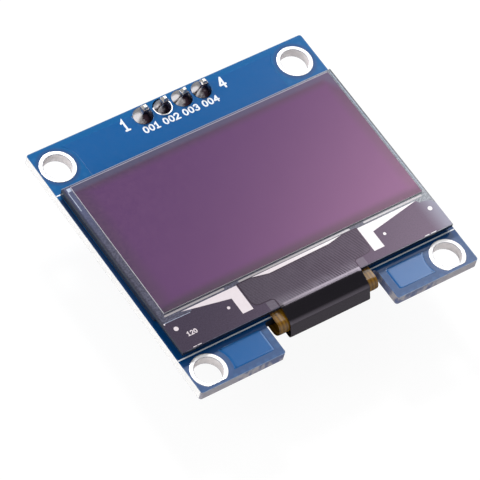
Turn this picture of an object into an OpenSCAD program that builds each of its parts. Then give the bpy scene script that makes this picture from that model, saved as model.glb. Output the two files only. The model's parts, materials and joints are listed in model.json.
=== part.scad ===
// Small graphic display module: a glass panel held by foam tape on a circuit board.
// A ribbon leaves the panel's ledge, folds through a notch in the board and is
// soldered to the board's rear. A four-pin header stands on the rear at the far edge.
// Origin: centre of the four mounting holes, on the board's rear face.
// +Z leaves the display's face, and +Y points to the header's edge.

/* [Board] */
// Width of the board along X
board_w = 35.6; // [35.4:0.1:43]
// Height of the board along Y
board_h = 33.5; // [33:0.1:41]
// Thickness of the board
board_t = 1.2; // [0.8:0.1:1.6]
// Radius of the board's corners and of the corners at the notch's mouth
board_corner_r = 0.3; // [0.1:0.1:0.8]
// Sideways offset of the board and all that it carries from the holes' centre
board_shift = 0.2; // [-0.2:0.05:0.2]

/* [Mounting holes] */
// Hole spacing along X
hole_span_x = 30.7; // [26:0.1:30.8]
// Hole spacing along Y
hole_span_y = 28.7; // [28:0.1:34]
// Diameter of a mounting hole inside its lining
hole_d = 3.1; // [2.2:0.1:3.2]
// Distance from the header's edge of the board to the nearer holes' centres
hole_edge = 2.77; // [2.4:0.01:4]
// Width of the bare metal ring around a mounting hole
land_w = 0.48; // [0.3:0.02:0.6]
// Least distance from a metal ring to the edge of the board
land_edge_gap = 0.35; // [0.2:0.05:0.5]

/* [Display glass] */
// Width of the panel
glass_w = 34.7; // [30:0.1:42]
// Height of the front glass
glass_h = 23.05; // [20:0.05:24]
// Thickness of the front glass
glass_t = 0.5; // [0.4:0.05:0.7]
// Thickness of the rear cover glass
cap_t = 0.5; // [0.4:0.05:0.7]
// Distance from the header's edge of the board to the panel's upper edge
glass_edge = 6; // [5.2:0.1:7]
// Height of the bare ledge below the polariser
ledge_h = 4.95; // [4.5:0.05:6]
// Thickness of the polariser film
polariser_t = 0.2; // [0.1:0.05:0.3]
// Side margin between the polariser and the edge of the glass
polariser_margin = 0.75; // [0.3:0.05:1.2]
// Sideways offset of the polariser
polariser_shift = 0.15; // [-0.25:0.05:0.25]
// Thickness of the double-sided foam tape under the panel
foam_t = 0.15; // [0.1:0.05:0.6]

/* [Ledge windows] */
// Distance from the centre line to the near side of a window's upright bar
window_near = 7.75; // [7:0.05:9]
// Width of a window's upright bar
window_bar = 1.35; // [0.8:0.05:2]
// Length of the left window's tapering arm, past its bar
left_arm = 5.4; // [3:0.1:6]
// Length of the right window's tapering arm, past its bar
right_arm = 6.3; // [3:0.1:6.5]
// Height of the tapering arm where it leaves its bar
window_arm_h = 1.1; // [0.6:0.05:1.4]
// Height of a window's upright bar
window_h = 3.25; // [2:0.05:3.5]

/* [Driver chip] */
// Length of the driver chip along X
chip_l = 10.6; // [8:0.1:12]
// Width of the driver chip along Y
chip_w = 0.9; // [0.7:0.05:1.5]
// Thickness of the driver chip
chip_t = 0.3; // [0.2:0.05:0.4]

/* [Ribbon and tape] */
// Width of the ribbon through the notch
ribbon_w = 12.7; // [10:0.1:15.3]
// Thickness of the ribbon
ribbon_t = 0.1; // [0.06:0.02:0.16]
// How far the ribbon's fold reaches past the panel's lower edge
ribbon_reach = 2.1; // [1.8:0.1:2.6]
// Gap between the ribbon and each side of the notch
notch_side_gap = 0.85; // [0.5:0.05:2]
// Width of the ribbon's soldered end
tail_w = 19.6; // [19:0.1:24]
// Length of the ribbon's soldered end along Y
tail_h = 2.6; // [2:0.1:4]
// Width of the black tape over the fold
tape_w = 10.2; // [8:0.1:12]
// Thickness of the black tape
tape_t = 0.08; // [0.06:0.01:0.12]

/* [Header] */
// Distance between neighbouring pins
pin_pitch = 2.54; // [2.5:0.01:3.1]
// Side of a pin's square section
pin_side = 0.64; // [0.5:0.01:0.66]
// Length of a pin below its housing
pin_below = 6; // [4:0.1:12]
// Length of a pin above its housing
pin_above = 3; // [2.6:0.1:4]
// Height of the header's housing
housing_h = 2.5; // [1.5:0.1:3]
// Depth of the header's housing along Y
housing_d = 2.5; // [2:0.1:2.6]
// Distance from the header's edge of the board to the pins
pin_edge = 1.3; // [1.3:0.05:2]
// Largest radius of a solder joint on the front
solder_r = 1; // [0.7:0.05:1.05]
// Height of a solder joint above its pad
solder_h = 1.35; // [0.8:0.05:1.5]

/* [Chip parts on the rear] */
// Length of a chip resistor or capacitor
chip_part_l = 1.6; // [1:0.1:2]
// Width of a chip resistor or capacitor
chip_part_w = 0.8; // [0.5:0.05:1.2]
// Height of a chip resistor
resistor_h = 0.45; // [0.3:0.05:0.6]
// Height of a chip capacitor
capacitor_h = 0.8; // [0.5:0.05:1]

/* [Hidden] */
$fn = 48;
bend_step = 7.5;

plating_t = 0.04;
cut_past = 1;

header_edge_y = hole_span_y / 2 + hole_edge;
low_edge_y = header_edge_y - board_h;
hole_r = hole_d / 2;
land_side_gap = land_edge_gap / 2;

glass_top_y = header_edge_y - glass_edge;
glass_low_y = glass_top_y - glass_h;
polariser_low_y = glass_low_y + ledge_h;
polariser_top_gap = 0.3;
cap_low_gap = 0.2;
foam_margin = 0.8;
foam_z = board_t;
cap_z = foam_z + foam_t;
glass_z = cap_z + cap_t;
polariser_z = glass_z + glass_t;

film_t = 0.03;
film_margin = 0.1;
film_z = glass_z - film_t;
window_top_y = polariser_low_y - 0.6;
// Half length, low half length, drop and rise of the thin window over the chip
wedge = [5.9, 3.85, 0.4, 0.1];
// Distance from the centre line, drop below the windows' top and radius of each dot
ledge_dots = [[16.3, 1.52, 0.27], [10.05, 1.95, 0.18]];
chip_y = glass_low_y + 2.7;

notch_w = ribbon_w + 2 * notch_side_gap;
notch_top_y = glass_low_y - 0.3;
notch_corner_r = 0.4;

ribbon_bond_h = 1.2;
ribbon_top_z = film_z - ribbon_t / 2;
ribbon_low_z = -plating_t - ribbon_t / 2;
fold_r = (ribbon_top_z - ribbon_low_z) / 2;
fold_y = glass_low_y - ribbon_reach + fold_r + ribbon_t / 2;
tail_end_y = glass_low_y + 7.4;
tail_corner_r = 0.8;

tape_lap = 0.25;
tape_edge_r = 0.15;
tape_slope = 18;
tape_slope_l = 1.6;
tape_shoulder_r = 0.9;
tape_wall_tilt = 69;
tape_heel_r = 0.35;
tape_rear_l = 3.9;
tape_top_z = polariser_z + tape_t / 2;
tape_low_z = ribbon_low_z - ribbon_t / 2 - tape_t / 2;
tape_wall_top_z = tape_top_z - tape_edge_r * (1 - cos(tape_slope)) - tape_slope_l * sin(tape_slope)
    - tape_shoulder_r * (cos(tape_slope) - cos(tape_wall_tilt));
tape_wall_l = (tape_wall_top_z - tape_low_z - tape_heel_r * (1 + cos(tape_wall_tilt)))
    / sin(tape_wall_tilt);

finger_count = 30;
finger_pitch = 0.62;
finger_w = 0.34;
finger_l = 1.6;
bead_r = 0.17;
bead_l = 0.75;

pin_count = 4;
pin_row_y = header_edge_y - pin_edge;
pin_hole_d = 1;
pin_land_r = 1.1;
pin_point = 0.4;
pin_point_side = 0.34;
joint_top_r = pin_side * 0.68;
joint_fall = 1.6;
joint_steps = 8;
housing_z = -plating_t - housing_h;
housing_chamfer = 0.45;

chip_end_l = 0.32;
chip_end_t = 0.03;
chip_pad = [chip_part_w + 0.2, 0.8];
capacitor_places = [[-9.5, 3.3], [-6.3, 3.3], [-3.1, 3.3], [0.1, 3.3], [3.3, 3.3], [11.9, 0.2], [11.9, 6.8]];
resistor_places = [[-11.9, 8.2], [-8.7, 8.2], [-5.5, 8.2], [-2.3, 8.2], [0.9, 8.2]];
regulator_place = [7.6, 5.4];
diode_place = [-13.2, 1.6];
regulator_size = [2.9, 1.3, 1.0];
diode_size = [1.25, 1.7, 0.85];
lead_t = 0.12;
lead_gap = 0.05;
lead_bend_r = 0.12;
lead_slope = 75;
lead_foot_l = 0.3;
regulator_lead_w = 0.4;
regulator_lead_run = 0.1;
regulator_pad = [0.8, 0.9];
regulator_draft = 0.08;
// Sideways place and side of each of the regulator's three feet
regulator_feet = [[-0.95, -1], [0.95, -1], [0, 1]];
diode_lead_w = 0.3;
diode_lead_run = 0.06;
diode_pad = [0.6, 0.8];
diode_draft = 0.07;

function hole_places() = [for (sx = [-1, 1], sy = [-1, 1]) [sx * hole_span_x / 2, sy * hole_span_y / 2]];
function pin_x(i) = (i - (pin_count + 1) / 2) * pin_pitch;
function finger_x(i) = (i - (finger_count - 1) / 2) * finger_pitch;
function lead_drop(size) = lead_gap + size[2] / 2 - lead_t / 2;
function lead_slope_l(drop) = (drop - 2 * lead_bend_r * (1 - cos(lead_slope))) / sin(lead_slope);
function lead_foot_y(size, run) = size[1] / 2 + run + 2 * lead_bend_r * sin(lead_slope)
    + lead_slope_l(lead_drop(size)) * cos(lead_slope) + lead_foot_l / 2;

// Everything but the mounting holes' linings sits on the board's own centre line
module on_board() {
    translate([board_shift, 0, 0]) children();
}

// Quarter outline that rounds off a square corner at the origin
module corner_cut(r) {
    difference() {
        translate([-cut_past, -cut_past]) square(r + cut_past);
        translate([r, r]) circle(r);
    }
}

// Rectangle with its four corners rounded, made of true arcs
module rounded_rectangle(size, r) {
    difference() {
        translate(-size / 2) square(size);
        for (sx = [0, 1], sy = [0, 1])
            mirror([sx, 0]) mirror([0, sy]) translate(-size / 2) corner_cut(r);
    }
}

// Metal lining of a hole, with a flat ring on each face of the board
module hole_lining(r, ring_r) {
    rotate_extrude() polygon([
        [r, -plating_t], [ring_r, -plating_t], [ring_r, 0], [r + plating_t, 0],
        [r + plating_t, board_t], [ring_r, board_t], [ring_r, board_t + plating_t], [r, board_t + plating_t]]);
}

// Middle line of a bent strip as [y, z, heading] points, from the origin along +Y
// Each step is a straight length, a bend radius and a turn, downwards where positive
function strip_path(steps, y = 0, z = 0, heading = 0, i = 0) = i == len(steps) ? [] : let (
    straight = steps[i][0],
    r = steps[i][1] * sign(steps[i][2]),
    turn = steps[i][2],
    bend_y = y + straight * cos(heading),
    bend_z = z - straight * sin(heading),
    cuts = ceil(abs(turn) / bend_step),
    bend = [for (k = [1 : 1 : cuts]) let (a = heading + turn * k / cuts)
        [bend_y + r * (sin(a) - sin(heading)), bend_z + r * (cos(a) - cos(heading)), a]],
    reached = cuts > 0 ? bend[cuts - 1] : [bend_y, bend_z, heading])
    concat(i == 0 ? [[y, z, heading]] : [], [[bend_y, bend_z, heading]], bend,
        strip_path(steps, reached[0], reached[1], reached[2], i + 1));

// Edge of a strip, offset to one side of its middle line
function strip_side(path, offset) = [for (p = path) [p[0] + offset * sin(p[2]), p[1] + offset * cos(p[2])]];

// Film or sheet metal bent along its steps, with its width along X
module folded_strip(steps, width, t) {
    path = strip_path(steps);
    count = len(path);
    rotate([90, 0, 90]) linear_extrude(width, center = true)
        polygon(concat(strip_side(path, t / 2), [for (k = [1 : count]) strip_side(path, -t / 2)[count - k]]));
}

// Block whose section is the same in both directions, drawn in to a smaller end below
module drafted_block(size, draft) {
    intersection() {
        rotate([90, 0, 0]) linear_extrude(size[1], center = true) polygon([
            [-size[0] / 2 + draft, -size[2]], [size[0] / 2 - draft, -size[2]],
            [size[0] / 2, -size[2] / 2], [size[0] / 2, 0], [-size[0] / 2, 0], [-size[0] / 2, -size[2] / 2]]);
        rotate([90, 0, 90]) linear_extrude(size[0], center = true) polygon([
            [-size[1] / 2 + draft, -size[2]], [size[1] / 2 - draft, -size[2]],
            [size[1] / 2, -size[2] / 2], [size[1] / 2, 0], [-size[1] / 2, 0], [-size[1] / 2, -size[2] / 2]]);
    }
}

module board_outline() {
    difference() {
        translate([0, (header_edge_y + low_edge_y) / 2]) rounded_rectangle([board_w, board_h], board_corner_r);
        translate([0, low_edge_y]) notch_outline();
    }
}

// Notch open at the lower edge, with round inner corners and a round mouth
module notch_outline() {
    depth = notch_top_y - low_edge_y;
    difference() {
        translate([-notch_w / 2, -cut_past]) square([notch_w, depth + cut_past]);
        for (s = [0, 1])
            mirror([s, 0]) translate([-notch_w / 2, depth]) mirror([0, 1]) corner_cut(notch_corner_r);
    }
    for (s = [0, 1])
        mirror([s, 0]) translate([-notch_w / 2, 0]) mirror([1, 0]) corner_cut(board_corner_r);
}

module circuit_board() {
    color("steelblue") linear_extrude(board_t) difference() {
        board_outline();
        for (place = hole_places())
            translate([place[0] - board_shift, place[1]]) circle(hole_r + plating_t);
        for (i = [1 : pin_count])
            translate([pin_x(i), pin_row_y]) circle(pin_hole_d / 2 + plating_t);
    }
}

module hole_linings() {
    color("gainsboro") intersection() {
        for (place = hole_places())
            translate(place) hole_lining(hole_r, hole_r + land_w);
        translate([board_shift - board_w / 2 + land_side_gap, low_edge_y + land_edge_gap, -board_t])
            cube([board_w - 2 * land_side_gap, board_h - 2 * land_edge_gap, 3 * board_t]);
    }
}

module pin_linings() {
    color("silver") for (i = [1 : pin_count])
        translate([pin_x(i), pin_row_y]) hole_lining(pin_hole_d / 2, pin_land_r);
}

module pad(size) {
    translate([-size[0] / 2, -size[1] / 2, -plating_t]) cube([size[0], size[1], plating_t]);
}

module rear_pads() {
    color("silver") {
        for (place = concat(capacitor_places, resistor_places), s = [-1, 1])
            translate([place[0], place[1] + s * chip_part_l / 2]) pad(chip_pad);
        for (i = [0 : finger_count - 1])
            translate([finger_x(i), tail_end_y]) pad([finger_w, finger_l]);
        translate(regulator_place) for (foot = regulator_feet)
            translate([foot[0], foot[1] * lead_foot_y(regulator_size, regulator_lead_run)]) pad(regulator_pad);
        translate(diode_place) for (s = [-1, 1])
            translate([0, s * lead_foot_y(diode_size, diode_lead_run)]) pad(diode_pad);
    }
}

module foam_tape() {
    color("white") translate([0, (glass_top_y + polariser_low_y) / 2, foam_z])
        linear_extrude(foam_t) square([glass_w - 2 * foam_margin,
            glass_top_y - polariser_low_y - 2 * foam_margin], center = true);
}

module cover_glass() {
    color("lightslategray") translate([-glass_w / 2, polariser_low_y + cap_low_gap, cap_z])
        cube([glass_w, glass_top_y - polariser_low_y - cap_low_gap, cap_t]);
}

module front_glass() {
    color("lightslategray") translate([-glass_w / 2, glass_low_y, glass_z])
        cube([glass_w, glass_h, glass_t]);
}

module polariser() {
    color("indigo") translate([polariser_shift - glass_w / 2 + polariser_margin, polariser_low_y, polariser_z])
        cube([glass_w - 2 * polariser_margin, glass_h - ledge_h - polariser_top_gap, polariser_t]);
}

// Clear window in the ledge's film: an upright bar with a tapering arm to one side
module ledge_window(arm_l) {
    polygon([[window_near, window_top_y], [window_near + window_bar + arm_l, window_top_y],
        [window_near + window_bar, window_top_y - window_arm_h],
        [window_near + window_bar, window_top_y - window_h], [window_near, window_top_y - window_h]]);
}

// Thin clear window between the panel's seal and the driver chip
module chip_window() {
    translate([0, window_top_y + wedge[3]])
        polygon([[-wedge[0], 0], [-wedge[1], -wedge[2]], [wedge[1], -wedge[2]], [wedge[0], 0]]);
}

module ledge_film() {
    color("dimgray") translate([0, 0, film_z]) linear_extrude(film_t) difference() {
        translate([-glass_w / 2 + film_margin, glass_low_y + film_margin])
            square([glass_w - 2 * film_margin, ledge_h - film_margin]);
        ledge_window(right_arm);
        mirror([1, 0]) ledge_window(left_arm);
        chip_window();
        for (s = [0, 1], dot = ledge_dots)
            mirror([s, 0]) translate([dot[0], window_top_y - dot[1]]) circle(dot[2]);
    }
}

module driver_chip() {
    color("black") translate([-chip_l / 2, chip_y - chip_w / 2, film_z - chip_t]) cube([chip_l, chip_w, chip_t]);
}

// Flat soldered end of the ribbon, wider than its neck
module ribbon_tail() {
    neck_end_y = tail_end_y - tail_h;
    difference() {
        union() {
            translate([-ribbon_w / 2, fold_y]) square([ribbon_w, tail_end_y - fold_y]);
            translate([-tail_w / 2, neck_end_y]) square([tail_w, tail_h]);
        }
        for (s = [0, 1])
            mirror([s, 0]) translate([-tail_w / 2, neck_end_y]) corner_cut(tail_corner_r);
    }
}

module ribbon() {
    color("darkgoldenrod") {
        translate([0, glass_low_y + ribbon_bond_h, ribbon_top_z]) rotate([0, 0, 180])
            folded_strip([[glass_low_y + ribbon_bond_h - fold_y, fold_r, 180]], ribbon_w, ribbon_t);
        translate([0, 0, ribbon_low_z - ribbon_t / 2]) linear_extrude(ribbon_t) ribbon_tail();
    }
}

module fold_tape() {
    color("black") translate([0, glass_low_y + tape_lap, tape_top_z]) rotate([0, 0, 180])
        folded_strip([
            [tape_lap, tape_edge_r, tape_slope],
            [tape_slope_l, tape_shoulder_r, tape_wall_tilt - tape_slope],
            [tape_wall_l, tape_heel_r, 180 - tape_wall_tilt],
            [tape_rear_l, 0, 0]], tape_w, tape_t);
}

// Beads of solder that run from the end of the ribbon onto its pads
module ribbon_solder() {
    color("silver") for (i = [0 : finger_count - 1])
        translate([finger_x(i), tail_end_y, -plating_t]) intersection() {
            rotate([-90, 0, 0]) cylinder(r = bead_r, h = bead_l, $fn = 16);
            translate([-bead_r, 0, -bead_r]) cube([2 * bead_r, bead_l, bead_r]);
        }
}

module housing_cell_outline() {
    difference() {
        square([pin_pitch, housing_d], center = true);
        for (sx = [-1, 1], sy = [-1, 1])
            translate([sx * pin_pitch / 2, sy * housing_d / 2]) circle(housing_chamfer, $fn = 4);
    }
}

module header_housing() {
    color([0.08, 0.08, 0.09]) translate([0, pin_row_y, housing_z]) linear_extrude(housing_h)
        for (i = [1 : pin_count])
            translate([pin_x(i), 0]) difference() {
                housing_cell_outline();
                square(pin_side, center = true);
            }
}

// Side view of a pin, drawn in to a blunt point at each end
module pin_outline() {
    low = housing_z - pin_below;
    high = -plating_t + pin_above;
    half = pin_side / 2;
    point = pin_point_side / 2;
    polygon([[-point, low], [point, low], [half, low + pin_point], [half, high - pin_point],
        [point, high], [-point, high], [-half, high - pin_point], [-half, low + pin_point]]);
}

module header_pin(i) {
    color("goldenrod") translate([pin_x(i), pin_row_y]) intersection() {
        rotate([90, 0, 0]) linear_extrude(pin_side, center = true) pin_outline();
        rotate([90, 0, 90]) linear_extrude(pin_side, center = true) pin_outline();
    }
}

// Half profile of a solder joint: a concave cone on the pad and a plug in the hole
function solder_profile() = [for (k = [0 : joint_steps])
    let (u = k / joint_steps)
    [joint_top_r + (solder_r - joint_top_r) * pow(1 - u, joint_fall), board_t + plating_t + solder_h * u]];

module solder_joint(i) {
    color("silver") translate([pin_x(i), pin_row_y]) difference() {
        rotate_extrude() polygon(concat([[0, -plating_t], [pin_hole_d / 2, -plating_t],
            [pin_hole_d / 2, board_t + plating_t]], solder_profile(),
            [[0, board_t + plating_t + solder_h]]));
        translate([0, 0, board_t / 2]) cube([pin_side, pin_side, 4 * board_t + 2 * solder_h], center = true);
    }
}

// Body of a chip resistor or capacitor, on its pads
module chip_body(h) {
    translate([-chip_part_w / 2, -chip_part_l / 2, -plating_t - chip_end_t - h]) cube([chip_part_w, chip_part_l, h]);
}

// Metal caps that wrap the two ends of a chip resistor or capacitor
module chip_ends(h) {
    difference() {
        for (s = [0, 1])
            mirror([0, s]) translate([-chip_part_w / 2 - chip_end_t, chip_part_l / 2 - chip_end_l,
                -plating_t - h - 2 * chip_end_t])
                cube([chip_part_w + 2 * chip_end_t, chip_end_l + chip_end_t, h + 2 * chip_end_t]);
        chip_body(h);
    }
}

module resistor_bodies() {
    color("ivory") for (place = resistor_places)
        translate(place) chip_body(resistor_h);
}

module resistor_ends() {
    color("silver") for (place = resistor_places)
        translate(place) chip_ends(resistor_h);
}

module capacitor_bodies() {
    color("tan") for (place = capacitor_places)
        translate(place) chip_body(capacitor_h);
}

module capacitor_ends() {
    color("silver") for (place = capacitor_places)
        translate(place) chip_ends(capacitor_h);
}

// Gull-wing lead that leaves a body, drops towards the board and ends in a flat foot
module bent_lead(width, run, drop) {
    mirror([0, 0, 1]) folded_strip([
        [run, lead_bend_r, lead_slope], [lead_slope_l(drop), lead_bend_r, -lead_slope],
        [lead_foot_l, 0, 0]], width, lead_t);
}

module regulator_body() {
    color([0.1, 0.1, 0.11]) translate([regulator_place[0], regulator_place[1], -plating_t - lead_gap])
        drafted_block(regulator_size, regulator_draft);
}

module regulator_leads() {
    color("silver") translate(regulator_place) for (foot = regulator_feet)
        translate([foot[0], 0]) mirror([0, foot[1] < 0 ? 1 : 0])
            translate([0, regulator_size[1] / 2, -plating_t - lead_gap - regulator_size[2] / 2])
                bent_lead(regulator_lead_w, regulator_lead_run, lead_drop(regulator_size));
}

module diode_body() {
    color([0.12, 0.12, 0.13]) translate([diode_place[0], diode_place[1], -plating_t - lead_gap])
        drafted_block(diode_size, diode_draft);
}

module diode_leads() {
    color("silver") translate(diode_place) for (s = [0, 1])
        mirror([0, s]) translate([0, diode_size[1] / 2, -plating_t - lead_gap - diode_size[2] / 2])
            bent_lead(diode_lead_w, diode_lead_run, lead_drop(diode_size));
}

on_board() circuit_board();
hole_linings();
on_board() pin_linings();
on_board() rear_pads();
on_board() foam_tape();
on_board() cover_glass();
on_board() front_glass();
on_board() polariser();
on_board() ledge_film();
on_board() driver_chip();
on_board() ribbon();
on_board() fold_tape();
on_board() ribbon_solder();
on_board() header_housing();
on_board() header_pin(1);  // header_pin_1
on_board() header_pin(2);  // header_pin_2
on_board() header_pin(3);  // header_pin_3
on_board() header_pin(4);  // header_pin_4
on_board() solder_joint(1);  // solder_joint_1
on_board() solder_joint(2);  // solder_joint_2
on_board() solder_joint(3);  // solder_joint_3
on_board() solder_joint(4);  // solder_joint_4
on_board() resistor_bodies();
on_board() resistor_ends();
on_board() capacitor_bodies();
on_board() capacitor_ends();
on_board() regulator_body();
on_board() regulator_leads();
on_board() diode_body();
on_board() diode_leads();
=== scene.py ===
"""Finishes a small graphic display module: mask, legends, glass, ribbon, tape and solder."""
import json
import math
from functools import partialmethod, reduce
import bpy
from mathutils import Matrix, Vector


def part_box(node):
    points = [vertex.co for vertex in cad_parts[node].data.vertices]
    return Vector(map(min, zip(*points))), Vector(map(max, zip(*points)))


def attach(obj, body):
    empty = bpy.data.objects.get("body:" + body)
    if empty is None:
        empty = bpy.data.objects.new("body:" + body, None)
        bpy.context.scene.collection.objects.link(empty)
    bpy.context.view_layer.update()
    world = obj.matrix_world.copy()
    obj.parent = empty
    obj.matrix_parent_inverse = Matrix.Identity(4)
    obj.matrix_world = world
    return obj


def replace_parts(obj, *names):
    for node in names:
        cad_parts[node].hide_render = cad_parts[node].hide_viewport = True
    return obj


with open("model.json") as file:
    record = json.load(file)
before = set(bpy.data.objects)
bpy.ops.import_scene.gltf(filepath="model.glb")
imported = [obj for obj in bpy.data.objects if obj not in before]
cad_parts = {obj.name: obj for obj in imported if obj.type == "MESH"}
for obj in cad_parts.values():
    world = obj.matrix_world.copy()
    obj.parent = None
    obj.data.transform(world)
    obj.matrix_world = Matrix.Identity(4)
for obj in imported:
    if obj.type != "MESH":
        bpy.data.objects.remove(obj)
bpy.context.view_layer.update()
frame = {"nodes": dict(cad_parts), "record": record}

from types import SimpleNamespace

import bmesh
import bpy
import numpy as np
from bpy.props import FloatProperty, FloatVectorProperty, IntProperty, PointerProperty
from mathutils import Matrix, Vector
from mathutils.geometry import tessellate_polygon

bl_info = {
    "name": "Small Display Module",
    "version": (1, 0, 0),
    "blender": (4, 5, 0),
    "location": "View3D > Sidebar > Display Module",
    "description": "Finishes a small graphic display module on its circuit board",
    "category": "Object",
}

MM = 0.001
BODY = "root"


def millimetres_box(node):
    """Lowest and highest corner of a node of the frame, in millimetres."""
    low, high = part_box(node)
    return np.array(low) / MM, np.array(high) / MM


BOARD = millimetres_box("circuit_board")
GLASS = millimetres_box("front_glass")
POLARISER = millimetres_box("polariser")
LININGS = millimetres_box("hole_linings")
RIBBON = millimetres_box("ribbon")
TAPE = millimetres_box("fold_tape")
PINS = [millimetres_box(f"header_pin_{i}") for i in range(1, 5)]
HOLES = next(m["dims"] for m in frame["record"]["mounts"] if m["name"] == "board_holes")
HOLE_CORNER = (HOLES["spacing_x_mm"] / 2, HOLES["spacing_y_mm"] / 2)
HOLE_PLACES = [(sx * HOLE_CORNER[0], sy * HOLE_CORNER[1]) for sx in (-1, 1) for sy in (-1, 1)]
BORE_R = HOLES["hole_r_mm"]
PIN_PLACES = [tuple((low[:2] + high[:2]) / 2) for low, high in PINS]
BOARD_TOP = BOARD[1][2]
LEDGE_TOP = GLASS[1][2]
BOARD_X, PANEL_X = ((low[0] + high[0]) / 2 for low, high in (BOARD, GLASS))
RING_R = LININGS[1][0] - HOLE_CORNER[0]
PAD_THICKNESS = 0.04
RIBBON_TRACKS = 30
DIGIT_WIDTH = 0.58     # of its height, for a digit at the row's end
LAYER_GAP = 0.001      # keeps strokes that cross from lying in one plane
FILM_SLOPE = 0.004     # lean of a printed layer's edge
WEDGE_RISE = 0.1       # from a window's top up to the wedge's top
FLARE = 0.5            # radius where the ribbon's neck widens
ROUND_STEPS = 6
RING_CUTS = 72
JOINT_ROWS, JOINT_CUTS = 22, 56
SKIN = 0.01            # how far under a face a point still has the face's finish
STRAIGHT_CUT = 0.25    # longest step along a strip's straights
TAPE_RISE = 0.013      # lifts the tape's end clear of the print under it
RIPPLE = 0.008         # height of the waves in the tape
PEEL_SIZE, PEEL_DEPTH = 0.35, 0.0012   # orange-peel of the blue mask
GROUNDED_FOOT = 0.86   # foot of the grounded pin's joint, as a share of the others'
JOINT_WAVE = 0.03      # waves of a joint: a share of its width, and millimetres of its height
BELLY = 0.05           # swell of a joint half-way up
CELL_FILL, CELL_MARGIN = 1.18, 0.14    # width and left margin of a digit, of the row's pitch
WALL_SHARE = 0.7       # least part of a plate's height that its wall stands upright
DOME_LAP = 1.3         # how far in a rounded rim ends, of its slope
INK_SLOPE, LINE_SLOPE = 0.02, 0.01     # lean of the legend's edges and of the printed line's
LINE_BELOW, LINE_ABOVE = 0.04, 0.05    # from the panel's edges out to the printed lines
PRINT_INSET = 0.06     # from the glass's lower edge up to the print
LAP_LIFT = 0.004       # lifts the marks that overlap the dark print
CHIP_LIFT = 0.002      # lifts the chips and scratches over the marks

# Marks on the ledge and glass: places across are from the panel's centre line
SEAL_RUNS = ((-16.5, -9.2), (-7.2, 6.9), (8.9, 16.4))                # ends of the seal line
DOT_PAIRS = ((16.32, 2.13, 0.27, 20), (10.03, 2.54, 0.18, 16))       # across, down, radius, cuts
STRAY_DOT = (-17.13, 1.15, 0.1, 10)
NUMBER_PLACE = (-15.08, 3.24)                                        # across, down
EDGE_CHIPS = ((-16.0, 0.45), (-15.45, 0.5), (13.7, 0.6), (14.5, 0.7))  # left end, width
BOND_MARKS, BOND_SIZE = (-6.25, 5.25), 1.0                           # left ends, width

# Directions: towards the panel from a joint, the side where the solder gets a painted dark
# reflection of the panel, and out of the panel's upper right corner
PANEL_REFLECTION_SIDE = (0.72, -0.66, -0.1)
CORNER_SIDE = (0.84, 0.544, 0)

# Studio: lamps as size in metres, azimuth and elevation; lobes of the room's light as direction
# and the stretch of its cosine over which it rises
LAMP_DISTANCE = 0.6
BACK_LAMP = (0.12, -15, 48.5)
SIDE_SOFTBOX = (0.344, -70, 50)
WALL_LOBE = ((-0.8, 0.5, 0.33), 0.45, 0.9)
FRONT_LOBE = ((-0.1, -0.98, 0.1), 0.35, 1.0)
SENSOR_WIDTH = 36.0
WHITE = (1, 1, 1, 1)


# Sizes and colours that a user may change

def length(name, description, size):
    """Length in metres, given in millimetres."""
    return FloatProperty(name=name, description=description, default=size * MM, min=0.0,
                         subtype="DISTANCE", unit="LENGTH", precision=5)


def turn(name, description, degrees):
    """Angle in radians, given in degrees."""
    return FloatProperty(name=name, description=description, default=math.radians(degrees),
                         subtype="ANGLE", unit="ROTATION")


def strength(name, description, value, unit="NONE"):
    """Power or strength of a light."""
    return FloatProperty(name=name, description=description, default=value, min=0.0, unit=unit)


def linear(code):
    """Linear colour of an sRGB hex value such as "#2B5FA0"."""
    parts = (int(code[i:i + 2], 16) / 255 for i in (1, 3, 5))
    return tuple(c / 12.92 if c <= 0.04045 else ((c + 0.055) / 1.055) ** 2.4 for c in parts)


def colour(name, description, code):
    """Colour given as an sRGB hex value."""
    return FloatVectorProperty(name=name, description=description, default=linear(code), min=0.0,
                               max=1.0, size=3, subtype="COLOR")


class BoardFinish(bpy.types.PropertyGroup):
    """Copper, mask and legend of the circuit board."""
    pour_height: length("Pour height", "Thickness of the copper under the mask", 0.04)
    pour_slope: length("Pour slope", "Width of the mask's slope round the copper", 0.05)
    pour_inset: length("Pour inset", "Distance from the board's edge to the copper", 0.75)
    ring_moat: length("Ring moat", "Bare laminate round a mounting ring", 0.62)
    pin_moat: length("Pin moat", "Radius of the bare laminate round a pin", 1.2)
    pad_window: length("Pad window", "Radius of the mask's opening at the grounded pin", 1.06)
    pour_lap: length("Copper under the panel", "From the panel's top edge down to the copper", 1)
    grounded_pin: IntProperty(name="Grounded pin", description="Pin joined to the copper",
                              default=2, min=1, max=4)
    tab_top: length("Tab copper top", "Distance from the panel's lower edge to a tab's copper", 0.8)
    tab_foot: length("Tab copper foot", "From the board's lower edge up to a tab's copper", 0.86)
    tab_slope: length("Tab copper slope", "Width of the mask's slope round a tab's copper", 0.22)
    tab_corner: length("Tab copper corner", "Radius of a tab copper's inner corners", 0.25)
    tab_inner: length("Tab copper side", "Distance from the centre line to a tab's copper", 8.05)
    legend_height: length("Legend height", "Height of the numbers by the pins", 0.92)
    legend_stroke: length("Legend stroke", "Width of the strokes by the pins", 0.19)
    legend_drop: length("Legend drop", "From the pins down to their numbers", 1.75)
    legend_width: length("Legend width", "Width of a pin's number", 2.15)
    end_gap: length("End number gap", "From the last pin out to the row's end number", 2.45)
    end_drop: length("End number drop", "From the pins down to the end numbers", 0.25)
    end_height: length("End number height", "Height of the numbers at the row's ends", 1.58)
    end_stroke: length("End number stroke", "Width of the strokes at the row's ends", 0.24)
    outline_stroke: length("Outline stroke", "Width of the printed line round the panel", 0.15)
    outline_inset: length("Outline inset", "From the board's side to the printed line", 0.1)
    ink_height: length("Ink height", "Thickness of the legend ink", 0.025)


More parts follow.
